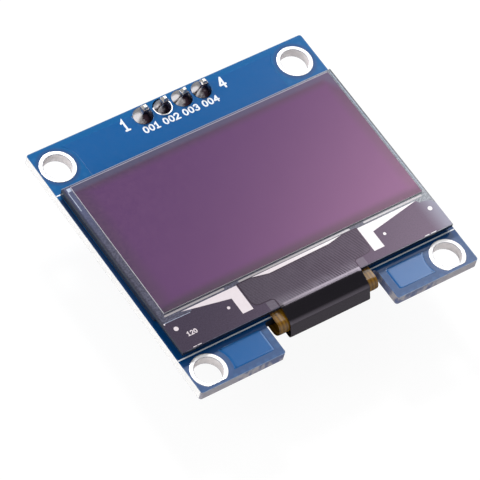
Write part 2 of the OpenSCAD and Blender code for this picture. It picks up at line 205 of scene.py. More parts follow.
class LedgeFinish(bpy.types.PropertyGroup):
    """Print on the panel's ledge."""
    window_near: length("Window near side", "From the centre line to a window's bar", 7.78)
    window_far: length("Window far side", "From the centre line to the bar's other side", 9.1)
    window_drop: length("Window top", "From the polariser down to a window", 0.6)
    window_foot: length("Window foot", "From the polariser down to the bar's foot", 3.84)
    arm_drop: length("Arm at its bar", "From the polariser down to the arm's lower side", 1.72)
    left_tip: length("Left arm tip", "From the centre line to the left arm's tip", 14.7)
    right_tip: length("Right arm tip", "From the centre line to the right arm's tip", 15.5)
    line_drop: length("Seal line", "From the polariser down to the light seal line", 0.2)
    line_width: length("Seal line width", "Width of the light seal line", 0.22)
    film: length("Print thickness", "Thickness of each layer of print", 0.012)
    track_pitch: length("Track pitch", "Distance between the fine fanned tracks", 0.3)
    number_height: length("Number height", "Height of the small number", 0.56)
    number_width: length("Number width", "Width of the small number", 1.25)
    number_stroke: length("Number stroke", "Width of the small number's strokes", 0.11)


class StripFinish(bpy.types.PropertyGroup):
    """Shape of the ribbon and of the black tape over its fold."""
    ribbon_width: length("Ribbon width", "Width of the ribbon through the notch", 12.7)
    ribbon_thickness: length("Ribbon thickness", "Thickness of the ribbon", 0.1)
    ribbon_bond: length("Ribbon bond", "Length of the ribbon under the glass", 1.2)
    tail_length: length("Tail length", "Length of the ribbon's soldered end", 2.6)
    tail_corner: length("Tail corner", "Radius of the soldered end's corners", 0.8)
    tape_thickness: length("Tape thickness", "Thickness of the black tape", 0.08)
    tape_lap: length("Tape lap", "Length of the tape on the glass", 0.25)
    tape_slope_length: length("Tape slope length", "Length of the tape's slope", 1.24)
    tape_top_bend: length("Tape top bend", "Bend of the tape over the glass", 1.5)
    tape_knee: length("Tape knee", "Bend of the tape above its front wall", 0.9)
    tape_heel: length("Tape heel", "Bend of the tape under the board", 0.35)
    tape_lap_tilt: turn("Tape lap tilt", "Slope of the tape on the glass", 3)
    tape_slope: turn("Tape slope", "Slope of the tape below the glass", 18)
    tape_wall: turn("Tape wall", "Tilt of the tape's front wall", 69)
    tape_rear: length("Tape rear length", "Length of the tape under the ribbon", 3.9)


class SolderFinish(bpy.types.PropertyGroup):
    """Shape of the solder on the header's pins and of the rings."""
    base_radius: length("Joint radius", "Radius of a joint at its pad", 1.15)
    collar: length("Joint collar", "Solder left round the pin at the joint's top", 0.05)
    joint_height: length("Joint height", "Height of a joint above its pad", 1.35)
    ring_round: length("Ring rounding", "Rounding of the mounting rings", 0.05)


class ModuleColours(bpy.types.PropertyGroup):
    """Main colours of the module."""
    mask: colour("Mask on copper", "Blue mask where copper lies under it", "#135794")
    # The bare mask fades from its own tone at the upper end to the lower tone at the lower end:
    # painted light, the teal of the upper end standing for light shining through the board
    bare_mask: colour("Mask on laminate", "Blue mask over bare laminate", "#0C5A94")
    low_mask: colour("Mask at lower edge", "Blue mask over bare laminate by the notch", "#1D4474")
    laminate: colour("Laminate", "Cut side of the board", "#A9A4AA")
    cut_mask: colour("Stained side", "Side of the board stained by mask", "#5B658C")
    ink: colour("Legend ink", "White legend ink", "#E9EEF6")
    tin: colour("Tin", "Tin on rings and pads", "#ECEBEC")
    solder: colour("Solder", "Reflowed solder", "#BEBABC")
    purple: colour("Panel purple", "Panel seen through its polariser", "#50365F")
    border: colour("Panel border", "Seal border under the polariser", "#3B3745")
    glass: colour("Glass", "Margins of the panel's glass", "#50505F")
    print_dark: colour("Ledge print", "Dark print on the ledge", "#3E3846")
    chip_field: colour("Chip field", "Print over the driver chip", "#433F48")
    window: colour("Ledge window", "Pale windows in the ledge", "#DDD3D8")
    ribbon: colour("Ribbon film", "Amber film of the ribbon", "#7C5813")
    ribbon_track: colour("Ribbon tracks", "Copper under the amber film", "#59390B")
    tape: colour("Tape", "Black adhesive tape", "#0D0C10")
    housing: colour("Header housing", "Black header housing", "#16171A")


class StudioSettings(bpy.types.PropertyGroup):
    """Camera, lamps and floor."""
    camera_distance: length("Camera distance", "From the camera to the point it looks at", 405.553)
    lens: FloatProperty(name="Lens", description="Focal length", default=290.115, unit="CAMERA")
    azimuth: turn("Azimuth", "Turn of the camera round the module", -47.4384)
    elevation: turn("Elevation", "Height of the camera above the horizon", 53.7005)
    roll: turn("Roll", "Turn of the camera about its own axis", 16.2391)
    aim: FloatVectorProperty(name="Aim", description="Point that the camera looks at", size=3,
                             default=(-2.69806 * MM, -1.83773 * MM, 0.0), subtype="TRANSLATION",
                             unit="LENGTH")
    back_power: strength("Back lamp", "Power of the lamp behind", 2.5, "POWER")
    side_power: strength("Side softbox", "Power of the softbox at the right", 1.65, "POWER")
    ceiling: strength("Ceiling light", "Strength of the light from above", 0.12)
    front: strength("Front light", "Strength of the soft light from the front", 0.9)
    wall: strength("Left wall", "Strength of the white wall at the left", 1.7)
    floor_reach: length("Floor size", "Half the width of the floor", 1500)


def in_mm(group):
    """Values of a property group, with its lengths in millimetres."""
    values = {}
    for name, prop in group.bl_rna.properties.items():
        if prop.type in ("FLOAT", "INT"):
            value = getattr(group, name)
            values[name] = value / MM if prop.unit == "LENGTH" and not prop.is_array else value
    return SimpleNamespace(**values)


# Outlines: closed rings of points in millimetres, with the material on their left

def arc(centre, radius, start, end, cuts):
    """Points on a circle between two angles in degrees: centre plus radius times (cosine, sine)."""
    angle = np.radians(np.linspace(start, end, cuts + 1))
    return np.array(centre) + radius * np.column_stack([np.cos(angle), np.sin(angle)])


def circle(centre, radius, cuts=48, hole=False):
    """Closed circle, turned the other way for a hole."""
    ring = arc(centre, radius, 0, 360, cuts)[:-1]
    return ring[::-1] if hole else ring


def rectangle(low, high, radius, cuts=6):
    """Rectangle with quarter circles at its corners."""
    (x0, y0), (x1, y1) = low, high
    return np.concatenate([arc((x1 - radius, y0 + radius), radius, -90, 0, cuts),
                           arc((x1 - radius, y1 - radius), radius, 0, 90, cuts),
                           arc((x0 + radius, y1 - radius), radius, 90, 180, cuts),
                           arc((x0 + radius, y0 + radius), radius, 180, 270, cuts)])


def mirrored(outline):
    """Outline on the other side of the centre line, still with the material on its left."""
    return (outline * (-1, 1))[::-1]


def moved_left(line, distance, closed=True):
    """Line shifted to its left: each point goes along the mitre of its two neighbouring sides."""
    step = np.roll(line, -1, 0) - line
    if not closed:
        step[-1] = step[-2]
    side = np.column_stack([-step[:, 1], step[:, 0]]) / np.linalg.norm(step, axis=1)[:, None]
    before = np.roll(side, 1, 0)
    if not closed:
        before[0] = side[0]
    return line + distance * (side + before) / (1 + (side * before).sum(1))[:, None]


def stroke(line, width, closed=False):
    """Outlines of a pen stroke: both sides of a line, half the width away, with round ends."""
    line = np.array(line, float)
    if closed:
        return [moved_left(line, -width / 2), moved_left(line, width / 2)[::-1]]
    left, right = moved_left(line, width / 2, False), moved_left(line, -width / 2, False)
    ends = []
    for tip, inner in ((line[-1], line[-2]), (line[0], line[1])):
        heading = math.degrees(math.atan2(*(tip - inner)[::-1]))
        ends.append(arc(tip, width / 2, heading - 90, heading + 90, 6)[1:-1])
    return [np.concatenate([right, ends[0], left[::-1], ends[1]])]


def digit_lines(digit):
    """Pen lines of a digit in a cell 0.6 wide and 1 high, as (line, closed) pairs."""
    if digit == "0":
        return [(circle((0, 0), 1, 20) * (0.28, 0.5) + (0.3, 0.5), True)]
    if digit == "1":
        return [([(0.06, 0.78), (0.3, 1), (0.3, 0)], False), ([(0.08, 0), (0.52, 0)], False)]
    if digit == "2":
        bowl = arc((0.3, 0.72), 0.28, 165, -38, 9)
        return [(np.concatenate([bowl, [(0.02, 0), (0.6, 0)]]), False)]
    if digit == "3":
        return [(arc((0.28, 0.74), 0.26, 150, -80, 9), False),
                (arc((0.28, 0.27), 0.28, 80, -150, 10), False)]
    return [([(0.46, 0), (0.46, 1)], False), ([(0.43, 0.96), (0, 0.3)], False),
            ([(0, 0.3), (0.64, 0.3)], False)]


def number_outlines(text, centre, height, width, pen):
    """Outlines of a printed number: each digit's pen lines scaled into its share of the width."""
    pitch = width / len(text)
    cell = np.array([pitch * CELL_FILL, height - pen])
    outlines = []
    for i, digit in enumerate(text):
        corner = np.array(centre) + ((i - len(text) / 2) * pitch + pitch * CELL_MARGIN,
                                     (pen - height) / 2)
        for line, closed in digit_lines(digit):
            outlines.append(stroke(np.array(line) * cell + corner, pen, closed))
    return outlines


# Meshes

def piece(name, parts, material, crease=32.0, out=False):
    """Mesh object from parts in millimetres, shaded smooth below the crease angle in degrees.

    With out, its faces are turned outwards.
    """
    points, faces = join(parts)
    mesh = bpy.data.meshes.new(name)
    mesh.from_pydata((points * MM).tolist(), [], faces)
    mesh.polygons.foreach_set("use_smooth", np.ones(len(mesh.polygons), bool))
    mesh.set_sharp_from_angle(angle=math.radians(crease))
    mesh.materials.append(material)
    mesh.validate()
    mesh.update()
    made = bpy.data.objects.new(name, mesh)
    bpy.context.scene.collection.objects.link(made)
    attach(made, BODY)
    if out:
        facing_out(made)
    return made


def join(parts):
    """One list of points and faces from several."""
    points, faces, count = [], [], 0
    for part_points, part_faces in parts:
        points.append(np.asarray(part_points, float))
        faces += [[i + count for i in face] for face in part_faces]
        count += len(part_points)
    return np.concatenate(points), faces


def grid(points, wrap_rows=False, wrap_columns=False, caps=False):
    """Faces of a grid of points (rows, columns, 3): each cell is a quad; caps close the ends."""
    rows, columns = points.shape[:2]
    index = np.arange(rows * columns).reshape(rows, columns)
    index = np.concatenate([index, index[:1]]) if wrap_rows else index
    index = np.concatenate([index, index[:, :1]], 1) if wrap_columns else index
    quads = np.stack([index[:-1, :-1], index[:-1, 1:], index[1:, 1:], index[1:, :-1]], -1)
    faces = quads.reshape(-1, 4).tolist()
    if caps:
        faces += [index[0, :columns][::-1].tolist(), index[-1, :columns].tolist()]
    return points.reshape(-1, 3), faces


def plate(outlines, low, high, slope, rounds=0):
    """Flat sheet: its rim climbs each outline and leans inwards by slope; triangles close it.

    With rounds, the rim is a quarter ellipse instead: in by slope times (1 - cosine), up by sine.
    """
    levels = [(0.0, low), (0.0, high - min(slope, (high - low) * WALL_SHARE)), (slope, high)]
    if rounds:
        turns = np.linspace(math.pi / 8, math.pi / 2, rounds)
        levels = [(0.0, low), *((slope * (1 - math.cos(t)), low + (high - low) * math.sin(t))
                                for t in turns), (slope * DOME_LAP, high)]
    rings = [[moved_left(line, offset) for line in outlines] for offset, z in levels]
    sizes = [len(line) for line in outlines]
    total = sum(sizes)
    flat = np.concatenate([line for ring in rings for line in ring])
    heights = np.repeat([z for offset, z in levels], total)
    faces, start = [], 0
    for size in sizes:
        here = start + np.arange(size)
        after = start + (np.arange(size) + 1) % size
        for level in range(len(levels) - 1):
            side = np.column_stack([here, after, after + total, here + total]) + level * total
            faces += side.tolist()
        start += size
    for level in (0, len(levels) - 1):
        polygon = [[Vector((x, y, 0)) for x, y in line] for line in rings[level]]
        for triangle in tessellate_polygon(polygon):
            a, b, c = (flat[i + level * total] for i in triangle)
            up = (b[0] - a[0]) * (c[1] - a[1]) - (b[1] - a[1]) * (c[0] - a[0]) > 0
            corners = [i + level * total for i in triangle]
            faces.append(corners if up == (level > 0) else corners[::-1])
    return np.column_stack([flat, heights]), faces


def lathe(profile, centre, cuts):
    """Closed profile of (radius, height) points turned about an upright axis."""
    angle = np.linspace(0, 2 * math.pi, cuts, endpoint=False)[:, None]
    radius, height = np.asarray(profile, float).T
    return np.stack([centre[0] + radius * np.cos(angle), centre[1] + radius * np.sin(angle),
                     np.broadcast_to(height, (cuts, len(height)))], -1)


def bent_path(steps, start, heading, cut=6.0):
    """Middle line of a bent strip: straights and arcs in turn, as rows of (y, z, heading, length).

    Headings are in degrees, and positive turns go clockwise, seen with Y to the right.
    """
    (y, z), run = start, 0.0
    rows = [(y, z, heading, run)]
    for straight, radius, bend in steps:
        cuts = max(1, int(straight / STRAIGHT_CUT))
        for k in range(1, cuts + 1):
            part = straight * k / cuts
            rows.append((y + part * math.cos(math.radians(heading)),
                         z + part * math.sin(math.radians(heading)), heading, run + part))
        y, z, _, run = rows[-1]
        if bend:
            cuts = max(2, math.ceil(abs(bend) / cut))
            sign = math.copysign(1, bend)
            old = math.radians(heading)
            for k in range(1, cuts + 1):
                now = heading + bend * k / cuts
                new = math.radians(now)
                rows.append((y + sign * radius * (math.sin(new) - math.sin(old)),
                             z - sign * radius * (math.cos(new) - math.cos(old)), now,
                             run + radius * math.radians(abs(bend)) * k / cuts))
            heading += bend
            y, z, _, run = rows[-1]
    return np.array(rows)


def strip(rows, middle, half_width, thickness, columns=24, ripple=None):
    """Flat strip carried along a bent path.

    Its section is a thin rectangle with rounded sides: across runs from side to side on the top
    and back underneath, and each point stands half the thickness off the path.
    """
    across = np.linspace(-1, 1, columns)
    inner = np.clip(np.abs(across) * 50 - 49, 0, 1)
    lift = thickness / 2 * np.sqrt(1 - 0.75 * inner ** 2)
    section_x = np.concatenate([across, across[::-1]])
    section_n = np.concatenate([lift, -lift[::-1]])
    y, z, heading = rows[:, 0], rows[:, 1], np.radians(rows[:, 2])
    width = half_width(y, rows[:, 3])
    normal_y, normal_z = -np.sin(heading), np.cos(heading)
    x = middle + width[:, None] * section_x[None, :]
    off = np.broadcast_to(section_n, x.shape)
    if ripple is not None:
        off = off + ripple(x, rows[:, 3][:, None])
    points = np.stack([x, y[:, None] + off * normal_y[:, None],
                       z[:, None] + off * normal_z[:, None]], -1)
    lay = np.stack([np.broadcast_to(section_x, x.shape),
                    np.broadcast_to(rows[:, 3][:, None], x.shape), np.zeros_like(x)], -1)
    return points, lay


def strip_piece(name, shape, material):
    """Piece made of a bent strip.

    It keeps where each point lies on the strip: across from -1 to 1, and along in millimetres.
    """
    points, lay = shape
    made = piece(name, [grid(points, wrap_columns=True, caps=True)], material, crease=50)
    layer = made.data.attributes.new("lay", "FLOAT_VECTOR", "POINT")
    layer.data.foreach_set("vector", lay.reshape(-1))
    facing_out(made)
    return made


def facing_out(made):
    """Turns a closed mesh's faces outwards."""
    work = bmesh.new()
    work.from_mesh(made.data)
    bmesh.ops.recalc_face_normals(work, faces=work.faces)
    work.to_mesh(made.data)
    work.free()


# Materials. Tones, fades and textures are worked out from the point that is coloured.

# Tones that are fixed, beside the main colours that a user may change
# Several of these stand for light or shade painted on: the shadow beside the glass, under the ledge
# and in the notch, the light on the board's left side, the highlights on the rims of board, glass
# and film, on the film's sides and on the tape, and the reflections on the glass's right margin and
# on the solder
SHADES = SimpleNamespace(
    weave="#4C82B6", shadow_beside_glass="#052C58", ring_halo="#2F4C7A", board_rim_highlight="#8FA3B8",
    shadow_below_ledge="#073C70", laminate_layer="#8D8F9C", notch_wall_shadow="#1D1E26", left_side_light="#F2F1F0",
    seal_top="#424A60", film_rim_highlight="#9A9BA6", film_side_highlight="#D9D7DD", film_sheen="#F0B2D0",
    glass_upper="#596080", glass_inner="#23232E", glass_right_reflection=("#5C626C", "#8F949C"),
    glass_rim_highlight="#9DA3B0", glass_outer="#343A42", glass_side_shade=("#0E1420", "#2C3444"),
    ink_end="#7C8590", ink_sheen="#FFDCFA", window_end="#F8F7F7", seam="#262129",
    seal_line=("#A19C9F", "#DAD6D9"), bond_mark="#5A5760", paler_by_lip="#8A8690", track="#1F1C24",
    track_sheen="#F0D2F0", tape_lap_highlight="#6B666C", tape_sheen="#F4E6FA",
    bore=("#D6D0D0", "#F6F1F1"), panel_reflection="#33262E",
    paper="#E8E8E8", paper_seen="#585858", paper_in_gloss="#A0A0A0")

# Stretches in millimetres over which one tone fades into another
FADES = SimpleNamespace(
    shadow_beside_top=(10.4, 11.0), shadow_beside_foot=(-12.6, -12.0), clear_of_rings=(12.2, 13.4),
    notch_side=(7.0, 7.2), slant_corner=(18.2, 19.2), glass_upper=(1.0, 9.0),
    glass_right_reflection=(8.0, 16.5), ink_end=(15.0, 17.8), window_end=(-4.0, 7.0), tracks=(-5.5, 3.0))

# Plain finishes: name, size of the mottling, its two tones, roughness and relief
PLAIN = {
    # Foam whose cut cells leave it chalky
    "foam": ("White acrylic foam", 0.15, "#C9C8C4", "#E6E5E1", (0.85, 0.95), 0.02),
    # Silicon ground flat on its back
    "die": ("Lapped silicon die", 0.2, "#2A2C31", "#3A3C42", (0.2, 0.3), 0.001),
    # Glassy black coat over the resistive film
    "glaze": ("Fired resistor glaze", 0.2, "#1B1B1D", "#2B2B2E", (0.3, 0.4), 0.003),
    # Bare sintered ceramic, matt and warm
    "ceramic": ("Fired tan ceramic", 0.15, "#9C7B54", "#B8966B", (0.5, 0.65), 0.006),
    # Filled epoxy as it leaves the mould
    "epoxy": ("Moulded black epoxy", 0.12, "#141416", "#232427", (0.5, 0.65), 0.008),
    # Tin on square brass, drawn and bright
    "pin": ("Tin-plated brass pin", 0.3, "#C9C6BF", "#E4E2DE", (0.25, 0.38), 0.004),
    # Tin plated in a barrel, satin and a little uneven
    "plated_end": ("Barrel-plated tin", 0.2, "#B9B9BC", "#D8D8DA", (0.3, 0.45), 0.004),
    # Painted highlights: fine pale lines at the glass's rim that stand for light caught there
    "glint": ("Painted glint on glass", 0.3, "#8C98B4", "#C4CCDC", (0.2, 0.3), 0.002),
}
NOISE_MIDDLE = (0.3, 0.7)
BOARD_IOR = GLASS_IOR = 1.52
FILM_IOR = 1.6
GLASS_ROUGHNESS = 0.12


class Value:
    """Output of a shader node; sums, products and comparisons of it add Math nodes."""
    __array_ufunc__ = None  # leaves a sum with a numpy number to this class

    def __init__(self, tree, socket):
        self.tree, self.socket = tree, socket

    def math(self, operation, *others):
        """This value put together with others."""
        return add(self.tree, "Math", dict(enumerate((self, *others))), operation=operation)

    def between(self, low, high, to_low=0.0, to_high=1.0, smooth=True):
        """This value mapped from one range to another, and held at its ends."""
        return add(self.tree, "MapRange", {"Value": self, "From Min": low, "From Max": high,
                                           "To Min": to_low, "To Max": to_high},
                   interpolation_type="SMOOTHSTEP" if smooth else "LINEAR")

    def __rsub__(self, other):
        return add(self.tree, "Math", {0: other, 1: self}, operation="SUBTRACT")

    __add__ = partialmethod(math, "ADD")
    __sub__ = partialmethod(math, "SUBTRACT")
    __mul__ = partialmethod(math, "MULTIPLY")
    __abs__ = partialmethod(math, "ABSOLUTE")
    __lt__ = partialmethod(math, "LESS_THAN")
    __gt__ = partialmethod(math, "GREATER_THAN")


def add(tree, kind, inputs=None, out=0, **settings):
    """Adds a shader node and returns one output; inputs are numbers, colours or Values."""
    node = tree.nodes.new("ShaderNode" + kind)
    for name, value in settings.items():
        setattr(node, name, value)
    for socket, value in (inputs or {}).items():
        if isinstance(value, Value):
            tree.links.new(value.socket, node.inputs[socket])
        else:
            node.inputs[socket].default_value = float(value) if np.isscalar(value) else value
    return Value(tree, node.outputs[out]) if node.outputs else node


def extreme(operation, values):
    """The MINIMUM or MAXIMUM of several values."""
    return reduce(lambda one, other: one.math(operation, other), values)


def tone(colour):
    """Colour for a socket: a Value as it is, a property or an sRGB hex value with full alpha."""
    if isinstance(colour, Value):
        return colour
    return (*(linear(colour) if isinstance(colour, str) else colour), 1.0)


def shade(colour, factor):
    """Colour times a factor."""
    return [v * factor for v in colour]


def over(factor, below, above):
    """Colour of one layer over another."""
    return add(factor.tree, "Mix", {0: factor, 6: tone(below), 7: tone(above)}, out=2,
               data_type="RGBA")


def painted(base, *layers):
    """Colour with layers over it, each given as how much of it shows and its colour."""
    return reduce(lambda below, layer: over(layer[0], below, layer[1]), layers, base)


def grain(place, size, detail=3.0, stretch=(1, 1, 1)):
    """Noise from 0 to 1 whose lumps are about size millimetres across."""
    turned = add(place.tree, "VectorMath", {0: place, 1: stretch}, operation="MULTIPLY")
    return add(place.tree, "TexNoise", {"Vector": turned, "Scale": 1 / size, "Detail": detail})


def satin(noise, low, high):
    """Roughness that goes from low to high over the middle of a noise."""
    return noise.between(*NOISE_MIDDLE, low, high, smooth=False)


def relief(height, depth):
    """Surface normal of a height from 0 to 1 that stands depth millimetres proud."""
    return add(height.tree, "Bump", {"Height": height, "Distance": depth * MM, "Strength": 1.0})


def split(place):
    """X, Y and Z of a point in millimetres."""
    node = add(place.tree, "SeparateXYZ", {0: place}).socket.node
    return [Value(place.tree, socket) for socket in node.outputs]


def side_distance(axes, low, high):
    """Distance in millimetres from the nearest side of a rectangle, from inside it."""
    return extreme("MINIMUM", [gap for axis, a, b in zip(axes, low, high)
                               for gap in (axis - a, b - axis)])


def hole_reach(place):
    """Distance in millimetres from the axis of the nearest mounting hole."""
    x, y, _ = split(place)
    off = add(place.tree, "CombineXYZ", {0: abs(x), 1: abs(y)})
    return add(place.tree, "VectorMath", {0: off, 1: (*HOLE_CORNER, 0)}, out="Value",
               operation="DISTANCE")


def cleared(owner):
    """Empty node tree of a material, world or lamp."""
    owner.use_nodes = True
    owner.node_tree.nodes.clear()
    return owner.node_tree


def blank(name):
    """New material, and the point that it colours, in millimetres from the part's origin."""
    made = bpy.data.materials.new(name)
    tree = cleared(made)
    return made, add(tree, "VectorMath", {0: add(tree, "TexCoord", out="Object"),
                                          1: (1 / MM,) * 3}, operation="MULTIPLY")


def finish(made, base, roughness, normal, **surface):
    """Gives a material one Principled surface; surface names its other sockets, such as ior."""
    sockets = {"Base Color": tone(base), "Roughness": roughness, "Normal": normal}
    for key, value in surface.items():
        sockets[key.replace("_", " ").title().replace("Ior", "IOR")] = value
    tree = made.node_tree
    add(tree, "OutputMaterial", {"Surface": add(tree, "BsdfPrincipled", sockets)})
    return made


def mottled(name, size, dark, light, rough, depth, **surface):
    """Plain finish: two tones, a roughness range and a fine relief from one noise."""
    made, place = blank(name)
    fine = grain(place, size / 3)
    return finish(made, over(grain(place, size), dark, light), satin(fine, *rough),
                  relief(fine, depth), **surface)


def plain(key, **surface):
    """One of the plain finishes."""
    return mottled(*PLAIN[key], **surface)


def masked_copper(c):
    """Glossy blue solder mask over copper: an even deep blue with a faint orange-peel."""
    made, place = blank("Blue solder mask over copper")
    peel = grain(place, PEEL_SIZE)
    return finish(made, over(grain(place, 4.0), shade(c.mask, 0.94), c.mask),
                  satin(peel, 0.12, 0.17), relief(peel, PEEL_DEPTH), ior=BOARD_IOR)


def board_laminate(c):
    """Glass-epoxy board: blue mask on its faces, with the cloth's weave faintly in it, and sawn
    sides where pale laminate and mask stains alternate."""
    made, place = blank("Sawn glass-epoxy board with blue mask")
    x, y, z = split(place)
    face = abs(z - BOARD_TOP / 2) > BOARD_TOP / 2 - SKIN

    # Faces: painted shadow of the panel beside the glass and under the ledge, greyer about the
    # rings, a pale painted highlight at the rim, and teal at the upper end fading greyer towards
    # the lower end, painted light shining through the board
    low_end = y.between(BOARD[0][1], GLASS[1][1], 1, 0)
    warp, weft = (add(place.tree, "TexWave", {"Vector": place, "Scale": 0.32, "Distortion": 1.5,
                                              "Detail": 1.0}, out="Fac", bands_direction=axis)
                  for axis in "XY")
    # Painted shadow that the panel casts on the strip of board beside its left side
    beside = ((x < GLASS[0][0] + 0.02) * y.between(*FADES.shadow_beside_top, 1, 0)
              * y.between(*FADES.shadow_beside_foot))
    halo = hole_reach(place).between(RING_R + 0.1, RING_R + 0.6, 0.75, 0)
    # Painted highlight: a pale band along the board's edges where the mask's rim would catch light
    rim = side_distance((x, y), BOARD[0][:2], BOARD[1][:2]).between(0.02, 0.09, 1, 0)
    # Painted shadow under the ledge in front of the panel, with less specular there too
    under = y.between(GLASS[0][1] - 1.0, GLASS[0][1] - 0.9) * low_end
    bare = painted(over(low_end, c.bare_mask, c.low_mask),
                   ((warp * weft).between(0.1, 0.8, 0, 0.1), SHADES.weave),
                   (beside, SHADES.shadow_beside_glass), (halo, SHADES.ring_halo),
                   (rim * 0.45, SHADES.board_rim_highlight), (under, SHADES.shadow_below_ledge))

    # Sides: mask stains in blots, layers of cloth, painted shade on the walls in the notch, and
    # painted light making the left side white
    blot = grain(place, 0.8, 2.0, (1, 1, 0.6)).between(0.38, 0.6)
    stain = blot * abs(x).between(*FADES.clear_of_rings).between(0, 1, 1, 0.15)
    layers = add(place.tree, "TexWave", {"Vector": place, "Scale": 0.8, "Distortion": 2.5,
                                         "Detail": 2.0}, out="Fac", bands_direction="Z")
    notch = abs(x - (BOARD_X - 0.25)).between(*FADES.notch_side, 1, 0)
    sides = painted(over(stain, c.laminate, c.cut_mask), 
                    (layers.between(0.2, 0.9, 0, 0.25), SHADES.laminate_layer),
                    # Painted shade darkens the notch's walls, and painted light whitens the board's
                    # left side
                    (notch, SHADES.notch_wall_shadow), (x < BOARD[0][0] + SKIN, SHADES.left_side_light))

    sheen = add(place.tree, "Mix", {0: under, 2: low_end.between(0, 1, 0.15, 0.27), 3: 0.13},
                data_type="FLOAT")
    rough = add(place.tree, "Mix", {0: face, 2: 0.7, 3: sheen}, data_type="FLOAT")
    return finish(made, over(face, sides, bare), rough,
                  relief(grain(place, PEEL_SIZE), PEEL_DEPTH), ior=BOARD_IOR,
                  specular_ior_level=under.between(0, 1, 0.5, 0.2))


def polariser_film(c):
    """Polariser over a dark panel: a purple mirror sheen, grey-blue over the panel's seal, with
    painted highlights along its upper edge and on its sides.
    """
    made, place = blank("Polariser film over dark panel")
    (x0, y0, _), (x1, y1, z1) = POLARISER
    x, y, z = split(place)
    top = (y1 - y).between(0.3, 1.9, 1, 0)
    foot = (y - y0).between(0.2, 1.4, 1, 0)
    left = (x - x0).between(0.1, 2.4, 0.6, 0)
    right = (x1 - x).between(0.1, 1.7, 0.75, 0)
    slant = add(place.tree, "VectorMath", {0: place, 1: CORNER_SIDE}, out="Value",
                operation="DOT_PRODUCT")
    corner = slant.between(*FADES.slant_corner)
    upper = extreme("MAXIMUM", (top.between(0.6, 1.0), corner))
    purple = over(grain(place, 6.0, 2.0), shade(c.purple, 0.94), c.purple)
    face = painted(purple, (extreme("MAXIMUM", (top, foot, left, right, corner)),
                            over(upper, c.border, SHADES.seal_top)),
                   # Painted highlight: a pale line along the film's upper edge
                   ((y1 - y).between(0.04, 0.12, 1, 0), SHADES.film_rim_highlight),
                   # Painted highlight: the film's sides drawn pale
                   (z < z1 - SKIN, SHADES.film_side_highlight))
    return finish(made, face, satin(grain(place, 0.3), 0.16, 0.2),
                  relief(grain(place, 2.5, 1.0), 0.002), ior=FILM_IOR,
                  specular_ior_level=foot.between(0, 1, 1.0, 0.75),
                  specular_tint=tone(SHADES.film_sheen))


def cut_glass(c):
    """Thin display glass over dark layers: grey-blue, with a painted reflection that lightens its
    right margin, a painted highlight along its upper edge and painted shade on its sides.
    """
    made, place = blank("Scribed display glass")
    x0, (x1, y1, _) = GLASS[0][0], GLASS[1]
    x, y, z = split(place)
    cloud = grain(place, 0.2).between(*NOISE_MIDDLE)
    left = painted(over(cloud, shade(c.glass, 0.7), shade(c.glass, 1.4)),
                   (y.between(*FADES.glass_upper, 0, 0.6), SHADES.glass_upper),
                   ((x - x0).between(0.1, 0.3, 0.6, 0), SHADES.glass_inner))
    # Painted reflection: the right margin lighter, as if the softbox shone in it
    face = painted(left, (x.between(*FADES.glass_right_reflection), over(cloud, *SHADES.glass_right_reflection)),
                   # Painted highlight: a pale line along the glass's upper edge
                   ((y1 - y).between(0.02, 0.1, 0.8, 0), SHADES.glass_rim_highlight),
                   ((x1 - x).between(0.05, 0.16, 0.8, 0), SHADES.glass_outer))
    streak = grain(place, 0.5, 4.0, (1, 1, 4))
    # Painted shade: the glass's side faces dark, standing for the shadow seen through its edges
    return finish(made, over(z > LEDGE_TOP - SKIN, over(streak, *SHADES.glass_side_shade), face),
                  satin(streak, 0.05, 0.1), relief(streak, 0.003), ior=GLASS_IOR)


def ledge_ink(name, colour):
    """Dark print sealed under glass: a fine grain, paler towards its right end, mirror-smooth."""
    made, place = blank(name)
    ink = over(grain(place, 0.14), shade(colour, 0.6), shade(colour, 1.4))
    paler = split(place)[0].between(*FADES.ink_end)
    return finish(made, over(paler, ink, SHADES.ink_end), GLASS_ROUGHNESS,
                  relief(grain(place, 1.8), 0.0015), ior=GLASS_IOR,
                  specular_tint=tone(SHADES.ink_sheen))


def pale_under_glass(name, left, right):
    """Pale layer behind clear glass: brighter towards its right end, mirror-smooth."""
    made, place = blank(name)
    lumps = grain(place, 0.3)
    tint = over(split(place)[0].between(*FADES.window_end), left, right)
    return finish(made, over(lumps, tint, shade(left, 0.9)), GLASS_ROUGHNESS,
                  relief(lumps, 0.001), ior=GLASS_IOR)


def fanned_tracks(c, pitch):
    """Fine metal tracks that fan out under the glass, as leaning stripes on the dark print."""
    made, place = blank("Metal tracks under display glass")
    x, y, _ = split(place)
    leaning = add(place.tree, "Mapping", {"Vector": place, "Rotation": (0, 0, math.radians(-21))})
    lines = add(place.tree, "TexWave",
                {"Vector": leaning, "Scale": 2 * math.pi / 20 / pitch, "Distortion": 2.6,
                 "Detail": 4.0, "Detail Scale": 1.1}, out="Fac", bands_direction="X")
    patch = (grain(place, 1.3, 4.0).between(0.3, 0.6, 0.45, 1)
             * x.between(*FADES.tracks, 0.35, 1))
    # Paler towards the glass's lower edge
    paler_by_lip = y.between(GLASS[0][1] + 0.2, GLASS[0][1] + 1.5, 0.4, 0)
    base = over(grain(place, 0.12), shade(c.chip_field, 0.4), shade(c.chip_field, 1.6))
    return finish(made, painted(base, (paler_by_lip, SHADES.paler_by_lip), (lines * patch, SHADES.track)), 0.16,
                  relief(lines, 0.001), ior=GLASS_IOR, specular_tint=tone(SHADES.track_sheen))


